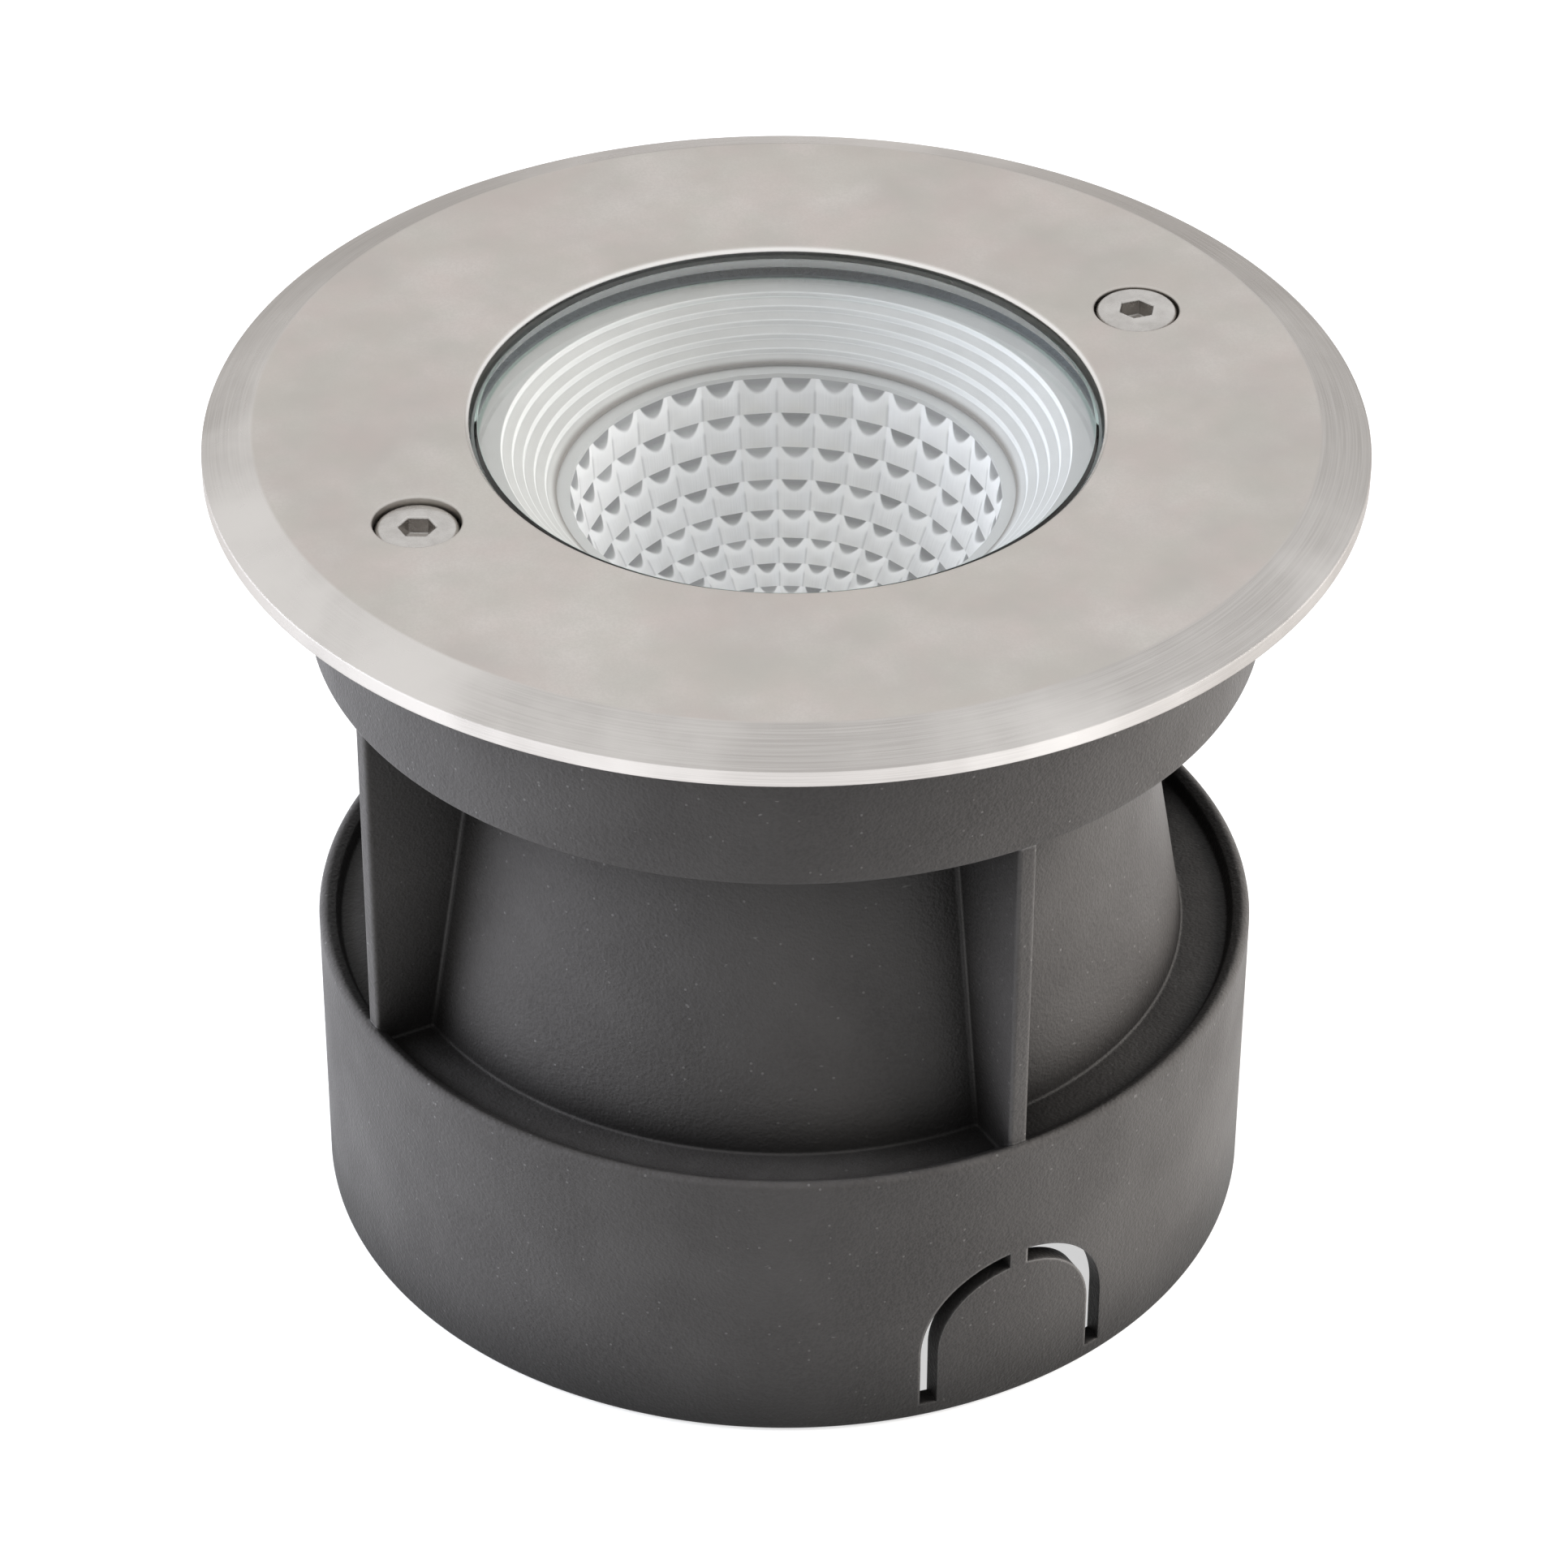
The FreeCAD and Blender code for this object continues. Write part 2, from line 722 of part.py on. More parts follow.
def small_screw(length, seat_z, x, y, up):
    """A slotted pan-head screw: up is 1 with its head on top, -1 with its head below."""
    shank = cylinder(small_screw_radius, 0, length)
    head = cylinder(small_head_radius, length, length + small_head_height)
    half = small_slot_width / 2
    top = length + small_head_height
    slot = box((-small_head_radius, small_head_radius), (-half, half), (top - small_socket_depth, top))
    shape = shank.fuse(head).cut(slot)
    shape.translate(vec(0, 0, -length))
    if up < 0:
        shape.rotate(vec(0, 0, 0), vec(1, 0, 0), 180)
    shape.translate(vec(x, y, seat_z))
    return shape


def holder_screws():
    seat_z = reflector_bottom_z - holder_recess
    places = ring_places(holder_screw_circle, 2)
    return Part.makeCompound([small_screw(holder_screw_length, seat_z, x, y, 1) for x, y in places])


# ---- driver and wiring ----

def lead_plane():
    """Distance from the axis at which the leads pass through the web."""
    return driver_width / 2 + output_run


def driver_case():
    half_x = driver_length / 2
    half_y = driver_width / 2
    shape = box((-half_x, half_x), (-half_y, half_y), (driver_bottom_z, driver_top_z))
    upright = [edge for edge in shape.Edges if abs(edge.tangentAt(0).z) > 0.99]
    shape = shape.makeFillet(driver_round, upright)
    reach = half_x + driver_ear
    ear_half = driver_ear_width / 2
    ears = box((-reach, reach), (-ear_half, ear_half), (driver_top_z - driver_ear_thickness, driver_top_z))
    cuts = [
        box(
            (-half_x + driver_shell, half_x - driver_shell),
            (-half_y + driver_shell, half_y - driver_shell),
            (driver_bottom_z, driver_top_z - driver_shell),
        )
    ]
    for x, y in ring_places(half_x + driver_ear / 2, 2):
        cuts.append(cylinder(small_screw_radius, driver_bottom_z, driver_top_z, x, y))
    for sign in (-1, 1):
        for x in (-lead_pitch / 2, lead_pitch / 2):
            hole = Part.makeCylinder(
                lead_radius, 2 * driver_shell, vec(x, sign * half_y, lead_exit_z()), vec(0, -sign, 0)
            )
            cuts.append(hole)
    return shape.fuse(ears).cut(cuts)


def driver_potting():
    half_x = driver_length / 2 - driver_shell
    half_y = driver_width / 2 - driver_shell
    top = driver_top_z - driver_shell
    return box((-half_x, half_x), (-half_y, half_y), (driver_bottom_z + driver_shell / 2, top))


def driver_pad():
    half_x = driver_length / 2
    half_y = driver_width / 2
    return box((-half_x, half_x), (-half_y, half_y), (driver_top_z, web_bottom_z))


def driver_screws():
    seat_z = driver_top_z - driver_ear_thickness
    places = ring_places(driver_length / 2 + driver_ear / 2, 2)
    length = driver_ear_thickness + pad_thickness + web_thickness / 2
    return Part.makeCompound([small_screw(length, seat_z, x, y, -1) for x, y in places])


def lead_exit_z():
    return driver_bottom_z + driver_height / 2


def bent_path(points, bend):
    """Straight runs through the points, joined by tangent arcs."""
    edges = []
    start = points[0]
    for before, corner, after in zip(points, points[1:], points[2:]):
        into = (before - corner).normalize() * bend
        out = (after - corner).normalize() * bend
        first = corner + into
        last = corner + out
        centre = first + out
        middle = centre + (corner - centre).normalize() * bend
        edges.append(Part.LineSegment(start, first).toShape())
        edges.append(Part.Arc(first, middle, last).toShape())
        start = last
    edges.append(Part.LineSegment(start, points[-1]).toShape())
    return Part.Wire(edges)


def lead(points):
    path = bent_path(points, lead_bend)
    along = points[1] - points[0]
    section = Part.Wire(Part.Circle(points[0], along, lead_radius).toShape())
    return path.makePipeShell([section], True, False)


def output_lead(side):
    """From the driver through the web to the lamp holder."""
    x = side * lead_pitch / 2
    entry_z = (pad_z + reflector_bottom_z) / 2
    points = [
        vec(x, -driver_width / 2, lead_exit_z()),
        vec(x, -lead_plane(), lead_exit_z()),
        vec(x, -lead_plane(), entry_z),
        vec(x, -math.sqrt(holder_radius ** 2 - (abs(x) - lead_radius) ** 2), entry_z),
    ]
    return lead(points)


def supply_lead(side):
    """From the driver down to the terminal block."""
    x = side * lead_pitch / 2
    block_z = core_bottom_z + block_entry_height
    reach = block_far_edge + supply_run
    points = [
        vec(x, driver_width / 2, lead_exit_z()),
        vec(x, reach, lead_exit_z()),
        vec(x, reach, block_z),
        vec(x, block_far_edge, block_z),
    ]
    return lead(points)


def block_poles():
    return [(x, block_offset) for x in (-block_pole, 0, block_pole)]


def terminal_block():
    half_x = block_length / 2
    near = block_offset - block_width / 2
    top = core_bottom_z + block_height
    shape = box((-half_x, half_x), (near, block_far_edge), (core_bottom_z, top))
    cuts = [cylinder(block_bore, top - block_screw_depth, top, x, y) for x, y in block_poles()]
    return shape.cut(cuts)


def terminal_screws():
    top = core_bottom_z + block_height - block_screw_sink
    half = small_slot_width / 2
    screws = []
    for x, y in block_poles():
        body = cylinder(block_bore, core_bottom_z + block_height - block_screw_depth, top, x, y)
        across = (x - block_bore, x + block_bore)
        slot = box(across, (y - half, y + half), (top - small_socket_depth, top))
        screws.append(body.cut(slot))
    return Part.makeCompound(screws)


def earth_screw():
    """Screw on the cover's floor that clamps the earth lead."""
    length = cover_thickness / 2 + small_head_height
    return small_screw(length, core_bottom_z + small_head_height, earth_screw_x, earth_screw_y, 1)


def earth_lead():
    level = core_bottom_z + block_entry_height
    points = [
        vec(earth_entry_x, block_offset - block_width / 2, level),
        vec(earth_entry_x, earth_screw_y, level),
        vec(earth_screw_x, earth_screw_y, level),
        vec(earth_screw_x, earth_screw_y, core_bottom_z + 2 * small_head_height),
    ]
    return lead(points)


# ---- rear cover, seal, vent and cable gland ----

def rear_cover():
    spigot_radius = rear_chamber_radius - piece_gap
    groove_z = core_bottom_z + spigot_height / 2
    groove_floor = rear_chamber_radius - 2 * oring_section
    outline = [
        (0, cover_bottom_z),
        (core_radius - edge_round, cover_bottom_z),
        (core_radius, cover_bottom_z + edge_round),
        (core_radius, core_bottom_z),
        (spigot_radius, core_bottom_z),
        (spigot_radius, groove_z - oring_section),
        (groove_floor, groove_z - oring_section),
        (groove_floor, groove_z + oring_section),
        (spigot_radius, groove_z + oring_section),
        (spigot_radius, core_bottom_z + spigot_height),
        (spigot_bore, core_bottom_z + spigot_height),
        (spigot_bore, core_bottom_z),
        (0, core_bottom_z),
    ]
    shape = revolve(outline)
    cuts = [
        cylinder(gland_thread_radius, cover_bottom_z, core_bottom_z),
        cylinder(vent_radius, cover_bottom_z, core_bottom_z, vent_offset),
        cylinder(small_screw_radius, earth_hole_z, core_bottom_z, earth_screw_x, earth_screw_y),
    ]
    for x, y in ring_places(cover_screw_circle, cover_screw_count, ring_screw_turn):
        cuts.append(cylinder(small_screw_radius, cover_bottom_z, core_bottom_z, x, y))
        cuts.append(cylinder(small_head_radius + slide_gap, cover_bottom_z, cover_bottom_z + small_head_height, x, y))
    return shape.cut(cuts)


def cover_seal():
    groove_z = core_bottom_z + spigot_height / 2
    section = oring_section - oring_squeeze
    return Part.makeTorus(rear_chamber_radius - oring_section, section, vec(0, 0, groove_z))


def cover_screws():
    seat_z = cover_bottom_z + small_head_height
    length = cover_screw_length
    places = ring_places(cover_screw_circle, cover_screw_count, ring_screw_turn)
    return Part.makeCompound([small_screw(length, seat_z, x, y, -1) for x, y in places])


def breather_vent():
    head_z = cover_bottom_z - vent_head_height
    stem = cylinder(vent_radius, cover_bottom_z, core_bottom_z, vent_offset)
    head = cylinder(vent_head_radius, head_z, cover_bottom_z, vent_offset)
    dish = cylinder(vent_radius - slide_gap, head_z, head_z + vent_dish_depth, vent_offset)
    return stem.fuse(head).cut(dish)


def gland_body():
    outline = [
        (gland_bore, gland_hex_z),
        (gland_seal_radius, gland_hex_z),
        (gland_seal_radius, gland_neck_z),
        (gland_neck_radius, gland_neck_z),
        (gland_neck_radius, cover_bottom_z),
        (gland_thread_radius, cover_bottom_z),
        (gland_thread_radius, gland_top_z),
        (gland_bore, gland_top_z),
    ]
    collar = hexagon(gland_flats, gland_hex_z, cover_bottom_z)
    collar = collar.cut(cylinder(gland_thread_radius, gland_hex_z, cover_bottom_z))
    return revolve(outline).fuse(collar).removeSplitter()


def gland_locknut():
    nut = hexagon(gland_flats, core_bottom_z, core_bottom_z + locknut_height, 0, 0, 0)
    return nut.cut(cylinder(gland_thread_radius, core_bottom_z, core_bottom_z + locknut_height))


def gland_seal():
    top = gland_hex_z
    return tube(gland_seal_radius, gland_seal_bore, top - gland_seal_length, top)


def gland_nut():
    """Dome nut: hexagon outside, turned to a dome at its foot, bored for the neck and the cable."""
    dome = [
        (0, gland_nut_z),
        (gland_seal_radius, gland_nut_z),
        (gland_corner_radius, gland_nut_z + gland_dome_height),
        (gland_corner_radius, gland_nut_top_z),
        (0, gland_nut_top_z),
    ]
    outside = hexagon(gland_flats, gland_nut_z, gland_nut_top_z).common(revolve(dome))
    seat_z = gland_hex_z - gland_seal_length
    bore = cylinder(gland_neck_radius, gland_neck_z, gland_nut_top_z)
    bore = bore.fuse(cylinder(gland_seal_radius, seat_z, gland_neck_z))
    bore = bore.fuse(cylinder(gland_bore, gland_nut_z, seat_z))
    return outside.cut(bore)


pieces = {
    "mounting_sleeve": mounting_sleeve,
    "threaded_inserts": threaded_inserts,
    "trim_ring": trim_ring,
    "face_screw_left": lambda: face_screw("left"),
    "face_screw_right": lambda: face_screw("right"),
    "screw_seal_left": lambda: screw_seal("left"),
    "screw_seal_right": lambda: screw_seal("right"),
    "glass_lens": glass_lens,
    "lens_gasket": lens_gasket,
    "baffle_ring": baffle_ring,
    "reflector": reflector,
    "housing": housing,
    "ring_screws": ring_screws,
    "thermal_pad": thermal_pad,
    "led_board": led_board,
    "led_phosphor": led_phosphor,
    "led_holder": led_holder,
    "holder_screws": holder_screws,
    "driver_case": driver_case,
    "driver_potting": driver_potting,
    "driver_pad": driver_pad,
    "driver_screws": driver_screws,
    "output_lead_red": lambda: output_lead(1),
    "output_lead_black": lambda: output_lead(-1),
    "supply_lead_brown": lambda: supply_lead(1),
    "supply_lead_blue": lambda: supply_lead(-1),
    "terminal_block": terminal_block,
    "terminal_screws": terminal_screws,
    "earth_screw": earth_screw,
    "earth_lead": earth_lead,
    "rear_cover": rear_cover,
    "cover_seal": cover_seal,
    "cover_screws": cover_screws,
    "breather_vent": breather_vent,
    "gland_body": gland_body,
    "gland_locknut": gland_locknut,
    "gland_seal": gland_seal,
    "gland_nut": gland_nut,
}

os.makedirs("parts", exist_ok=True)
for name, make in pieces.items():
    shape = make()
    print(name, len(shape.Solids), shape.isValid(), round(shape.Volume, 1))
    shape.exportStep("parts/" + name + ".step")
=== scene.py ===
import json
import math
import bmesh
import bpy
import numpy as np
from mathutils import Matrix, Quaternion, Vector
from types import SimpleNamespace


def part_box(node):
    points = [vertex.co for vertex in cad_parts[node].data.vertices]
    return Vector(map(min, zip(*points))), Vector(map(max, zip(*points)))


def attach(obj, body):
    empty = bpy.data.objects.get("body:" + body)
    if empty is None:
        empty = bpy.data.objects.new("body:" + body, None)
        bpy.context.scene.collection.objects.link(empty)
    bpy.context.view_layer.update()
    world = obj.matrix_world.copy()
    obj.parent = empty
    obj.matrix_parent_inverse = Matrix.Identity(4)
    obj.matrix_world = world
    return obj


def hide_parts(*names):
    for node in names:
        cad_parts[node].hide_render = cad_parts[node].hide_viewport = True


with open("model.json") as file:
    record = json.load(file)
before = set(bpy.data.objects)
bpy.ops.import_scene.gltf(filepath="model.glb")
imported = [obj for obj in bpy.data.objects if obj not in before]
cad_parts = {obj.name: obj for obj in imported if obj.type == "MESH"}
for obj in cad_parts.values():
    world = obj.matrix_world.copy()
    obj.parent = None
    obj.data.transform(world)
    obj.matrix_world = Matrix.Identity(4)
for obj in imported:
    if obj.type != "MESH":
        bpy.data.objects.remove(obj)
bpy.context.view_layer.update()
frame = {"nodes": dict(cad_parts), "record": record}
print("frame loaded with", len(frame["nodes"]), "nodes")

mm = 0.001
scene = bpy.context.scene
scene.view_settings.view_transform = "Standard"


def linked(name, data):
    made = bpy.data.objects.new(name, data)
    scene.collection.objects.link(made)
    return made


def named(settings):
    # a dictionary whose values are read as own.name
    return SimpleNamespace(**settings)


# Camera: aimed at a point inside the light, a little below its middle
cameraSet = {
    "lens": 135.5, "sensor": 36.0, "distance": 0.7652, "azimuth": -29.2, "elevation": 36.17,
    "roll": 0.26, "target": (-0.00013, 0.0, 0.0572),
}


def makeCamera(own):
    around = math.radians(own.azimuth)
    up = math.radians(own.elevation)
    direction = Vector((math.sin(around) * math.cos(up), -math.cos(around) * math.cos(up), math.sin(up)))
    data = bpy.data.cameras.new("camera")
    data.lens = own.lens
    data.sensor_width = own.sensor
    data.clip_start = 0.01
    camera = linked("camera", data)
    camera.location = Vector(own.target) + direction * own.distance
    camera.rotation_mode = "QUATERNION"
    turn = Quaternion((0, 0, 1), math.radians(own.roll))
    camera.rotation_quaternion = direction.to_track_quat("Z", "Y") @ turn
    scene.camera = camera


makeCamera(named(cameraSet))


# Nodes and node groups

def feed(tree, node, inputs):
    # each input gets a link or a fixed value; a colour of three parts gets alpha 1
    for key, value in inputs.items():
        socket = node.inputs[key]
        if isinstance(value, bpy.types.NodeSocket):
            tree.links.new(value, socket)
        elif value is not None:
            socket.default_value = (*value, 1.0) if socket.type == "RGBA" else value


def addNode(tree, kind, inputs, **settings):
    made = tree.nodes.new("ShaderNode" + kind)
    for key, value in settings.items():
        setattr(made, key, value)
    feed(tree, made, inputs)
    return made


def mathOf(tree, operation, first, second=None, third=None):
    return addNode(tree, "Math", {0: first, 1: second, 2: third}, operation=operation).outputs[0]


def times(tree, first, second):
    return mathOf(tree, "MULTIPLY", first, second)


def timesPlus(tree, first, second, added):
    return mathOf(tree, "MULTIPLY_ADD", first, second, added)


def spread(tree, value, low, high, newLow=0.0, newHigh=1.0):
    # value moved from low..high to newLow..newHigh along a smooth step
    inputs = {0: value, 1: low, 2: high, 3: newLow, 4: newHigh}
    return addNode(tree, "MapRange", inputs, interpolation_type="SMOOTHSTEP").outputs[0]


def noiseOf(tree, place, scale, detail):
    return addNode(tree, "TexNoise", {"Vector": place, "Scale": scale, "Detail": detail}).outputs[0]


def heightOf(tree, place):
    return addNode(tree, "SeparateXYZ", {0: place}).outputs[2]


def axisDistance(tree, place):
    # how far a point is from the Z axis
    flat = addNode(tree, "VectorMath", {0: place, 1: (1.0, 1.0, 0.0)}, operation="MULTIPLY")
    return addNode(tree, "VectorMath", {0: flat.outputs[0]}, operation="LENGTH").outputs["Value"]


def blendColours(tree, share, first, second):
    return addNode(tree, "Mix", {0: share, 6: first, 7: second}, data_type="RGBA").outputs[2]


def tinted(tree, colour, tint, mask, amount):
    # colour moved to tint by mask times amount
    return blendColours(tree, times(tree, mask, amount), colour, tint)


def newGroup(name, inputs, outputs):
    # an input is a number or a vector like its default, an output is a vector when it is called Normal
    group = bpy.data.node_groups.new(name, "ShaderNodeTree")
    for label, value in inputs.items():
        kind = "NodeSocketFloat" if isinstance(value, float) else "NodeSocketVector"
        socket = group.interface.new_socket(label, in_out="INPUT", socket_type=kind)
        if value is not None:
            socket.default_value = value
    for label in outputs:
        kind = "NodeSocketVector" if label == "Normal" else "NodeSocketFloat"
        group.interface.new_socket(label, in_out="OUTPUT", socket_type=kind)
    return group, group.nodes.new("NodeGroupInput").outputs, group.nodes.new("NodeGroupOutput").inputs


def makeCloudGroup():
    # two noises, one three times finer, added and spread: 0 in dull patches, 1 in clear ones
    inputs = {"Vector": None, "Scale": 20.0, "Softness": 0.2}
    group, given, out = newGroup("cloudyPatches", inputs, ["Mask"])
    broad = noiseOf(group, given["Vector"], given["Scale"], 5.0)
    fineScale = times(group, given["Scale"], 3.3)
    fine = noiseOf(group, given["Vector"], fineScale, 4.0)
    both = timesPlus(group, fine, 0.4, times(group, broad, 0.6))
    low = mathOf(group, "SUBTRACT", 0.5, given["Softness"])
    high = mathOf(group, "ADD", 0.5, given["Softness"])
    group.links.new(spread(group, both, low, high), out["Mask"])
    return group


def makeGrainGroup():
    # moulded or blasted skin: fine noise over small cells
    inputs = {"Vector": None, "Scale": 900.0}
    group, given, out = newGroup("fineGrain", inputs, ["Height", "Mask"])
    noise = noiseOf(group, given["Vector"], given["Scale"], 3.0)
    cellScale = times(group, given["Scale"], 1.7)
    cells = addNode(group, "TexVoronoi", {"Vector": given["Vector"], "Scale": cellScale})
    height = timesPlus(group, cells.outputs["Distance"], 0.45, noise)
    group.links.new(height, out["Height"])
    group.links.new(spread(group, height, 0.5, 0.95), out["Mask"])
    return group


def makeSpeckGroup():
    # small round specks: a cell's centre is a speck where the cell's own random number is high
    inputs = {"Vector": None, "Scale": 300.0, "Rarity": 0.8, "Size": 0.2}
    group, given, out = newGroup("specks", inputs, ["Mask"])
    cells = addNode(group, "TexVoronoi", {"Vector": given["Vector"], "Scale": given["Scale"]})
    number = addNode(group, "SeparateColor", {0: cells.outputs["Color"]}).outputs[0]
    chosen = mathOf(group, "GREATER_THAN", number, given["Rarity"])
    inside = mathOf(group, "LESS_THAN", cells.outputs["Distance"], given["Size"])
    group.links.new(times(group, chosen, inside), out["Mask"])
    return group


def makeScuffGroup():
    # short hairline marks: noise stretched along one direction, cut to its crests, shown in patches
    inputs = {"Vector": None, "Scale": 60.0, "Stretch": (1.0, 12.0, 12.0), "Amount": 0.1}
    group, given, out = newGroup("scuffs", inputs, ["Mask"])
    longer = addNode(group, "VectorMath", {0: given["Vector"], 1: given["Stretch"]}, operation="MULTIPLY")
    lines = noiseOf(group, longer.outputs[0], given["Scale"], 2.0)
    patches = noiseOf(group, given["Vector"], given["Scale"], 1.0)
    threshold = mathOf(group, "SUBTRACT", 0.78, given["Amount"])
    crest = spread(group, lines, threshold, mathOf(group, "ADD", threshold, 0.06))
    where = spread(group, patches, 0.45, 0.62)
    group.links.new(times(group, crest, where), out["Mask"])
    return group


def makeTurnedGroup():
    # concentric tool marks: noise that varies quickly with radius and slowly round the axis
    inputs = {"Vector": None, "Fineness": 2500.0, "Length": 25.0}
    group, given, out = newGroup("turnedMarks", inputs, ["Height", "Mask"])
    flat = addNode(group, "VectorMath", {0: given["Vector"], 1: (1.0, 1.0, 0.0)}, operation="MULTIPLY")
    radius = addNode(group, "VectorMath", {0: flat.outputs[0]}, operation="LENGTH").outputs["Value"]
    level = heightOf(group, given["Vector"])
    across = times(group, mathOf(group, "ADD", radius, level), given["Fineness"])
    scaled = {0: flat.outputs[0], "Scale": given["Length"]}
    sideways = addNode(group, "VectorMath", scaled, operation="SCALE")
    lift = addNode(group, "CombineXYZ", {2: across})
    place = addNode(group, "VectorMath", {0: sideways.outputs[0], 1: lift.outputs[0]}, operation="ADD")
    noise = noiseOf(group, place.outputs[0], 1.0, 3.0)
    group.links.new(noise, out["Height"])
    group.links.new(spread(group, noise, 0.3, 0.7), out["Mask"])
    return group


def makeDustGroup():
    # pale dust that settles on what faces up, broken by noise
    inputs = {"Vector": None, "Amount": 0.3}
    group, given, out = newGroup("settledDust", inputs, ["Mask"])
    facing = heightOf(group, addNode(group, "NewGeometry", {}).outputs["Normal"])
    noise = noiseOf(group, given["Vector"], 220.0, 6.0)
    broken = times(group, spread(group, noise, 0.4, 0.75), given["Amount"])
    group.links.new(times(group, spread(group, facing, 0.2, 0.9), broken), out["Mask"])
    return group


def makeEdgeGroup():
    # rounded edges in the shading, and a mask that is 1 where the rounding bends the surface
    inputs = {"Radius": 0.0003}
    group, given, out = newGroup("softEdges", inputs, ["Normal", "Mask"])
    bevel = addNode(group, "Bevel", {"Radius": given["Radius"]}, samples=4)
    plain = addNode(group, "NewGeometry", {}).outputs["Normal"]
    both = {0: bevel.outputs[0], 1: plain}
    same = addNode(group, "VectorMath", both, operation="DOT_PRODUCT").outputs["Value"]
    group.links.new(bevel.outputs[0], out["Normal"])
    group.links.new(spread(group, same, 0.995, 0.85), out["Mask"])
    return group


cloudyPatches = makeCloudGroup()
fineGrain = makeGrainGroup()
specks = makeSpeckGroup()
scuffs = makeScuffGroup()
turnedMarks = makeTurnedGroup()
settledDust = makeDustGroup()
softEdges = makeEdgeGroup()


def useGroup(tree, group, **inputs):
    return addNode(tree, "Group", inputs, node_tree=group).outputs


def cloudy(tree, place, scale, softness):
    return useGroup(tree, cloudyPatches, Vector=place, Scale=scale, Softness=softness)["Mask"]


def grainOf(tree, place, scale):
    return useGroup(tree, fineGrain, Vector=place, Scale=scale)


def bumpOf(tree, height, depth, normal=None):
    return addNode(tree, "Bump", {"Height": height, "Distance": depth, "Normal": normal}).outputs[0]


materials = {}


def newMaterial(name):
    materials[name] = made = bpy.data.materials.new(name)
    made.use_nodes = True
    tree = made.node_tree
    return tree, tree.nodes["Principled BSDF"], addNode(tree, "TexCoord", {}).outputs["Object"]


# Finishes

def mouldedPlastic(name, own):
    # moulded skin: cloudy colour, fine grain, worn edges, scuffs, specks, dust, and a painted shade in
    # recesses from ambient occlusion
    tree, shader, place = newMaterial(name)
    # painted shade: colour darkened where ambient occlusion finds surfaces close by, in recesses and under
    # parts
    nearby = addNode(tree, "AmbientOcclusion", {"Distance": own.grimeReach}, samples=6)
    grime = spread(tree, nearby.outputs["AO"], own.grimeStart, own.grimeFull)
    patch = cloudy(tree, place, own.patchScale, 0.22)
    grain = grainOf(tree, place, own.grainScale)
    edge = useGroup(tree, softEdges, Radius=own.edgeRadius)
    scuff = useGroup(tree, scuffs, Vector=place, Scale=90.0, Amount=own.scuff)["Mask"]
    speck = useGroup(tree, specks, Vector=place, Scale=own.speckScale, Rarity=0.86, Size=0.16)["Mask"]
    dust = useGroup(tree, settledDust, Vector=place, Amount=own.dust)["Mask"]
    colour = blendColours(tree, patch, own.dark, own.light)
    colour = tinted(tree, colour, own.light, grain["Mask"], own.grainShare)
    colour = tinted(tree, colour, own.worn, edge["Mask"], own.edgeWear)
    colour = tinted(tree, colour, own.worn, scuff, own.scuffShare)
    colour = tinted(tree, colour, own.worn, speck, own.speckShare)
    colour = blendColours(tree, dust, colour, own.worn)
    # the painted shade pulls the colour towards a much darker tone
    darkest = tuple(0.15 * part for part in own.dark)
    colour = tinted(tree, colour, darkest, grime, own.grime)
    rough = spread(tree, patch, 0.0, 1.0, own.rough + 0.05, own.rough - 0.05)
    rough = timesPlus(tree, scuff, -0.12, rough)
    feed(tree, shader, {
        "Base Color": colour,
        "Roughness": timesPlus(tree, dust, 0.2, rough),
        "Normal": bumpOf(tree, grain["Height"], own.grainDepth, edge["Normal"]),
        "Specular IOR Level": own.specular,
    })


def paintedBaffle(own):
    # silver-grey paint, with a painted highlight on the upright face of each step, a painted shade at the
    # foot of each step and a painted shadow on the lip
    tree, shader, place = newMaterial("bafflePaint")
    radius = axisDistance(tree, place)
    run = (own.mouth - own.lip) * mm / own.steps
    fromMouth = mathOf(tree, "SUBTRACT", own.mouth * mm + own.crestWidth * mm / 2, radius)
    share = mathOf(tree, "FRACT", mathOf(tree, "DIVIDE", fromMouth, run))
    width = own.crestWidth * mm / run
    onSteps = spread(tree, radius, own.landStart, own.landStart - 0.0003)
    # painted highlight: the upright face of each step is painted pale
    crest = times(tree, spread(tree, share, width, width * 0.6), onSteps)
    # painted shade: the slope just inside the foot of each step is darkened
    groove = times(tree, spread(tree, share, width * 1.9, width), onSteps)
    patch = cloudy(tree, place, 70.0, 0.25)
    grain = grainOf(tree, place, 2200.0)
    colour = blendColours(tree, patch, own.dark, own.light)
    colour = tinted(tree, colour, own.groove, groove, 0.35)
    colour = tinted(tree, colour, own.worn, crest, 0.9)
    level = heightOf(tree, place)
    # painted shadow: the lip's face, its undercut and a narrow band just above it are darkened
    under = spread(tree, level, own.lipLevel + 0.0003, own.lipLevel - 0.00006)
    colour = blendColours(tree, under, colour, own.lipShade)
    feed(tree, shader, {
        "Base Color": colour,
        "Roughness": spread(tree, patch, 0.0, 1.0, 0.6, 0.52),
        "Normal": bumpOf(tree, grain["Height"], 0.000012),
        "Metallic": 0.08,
        "Specular IOR Level": 0.25,
    })


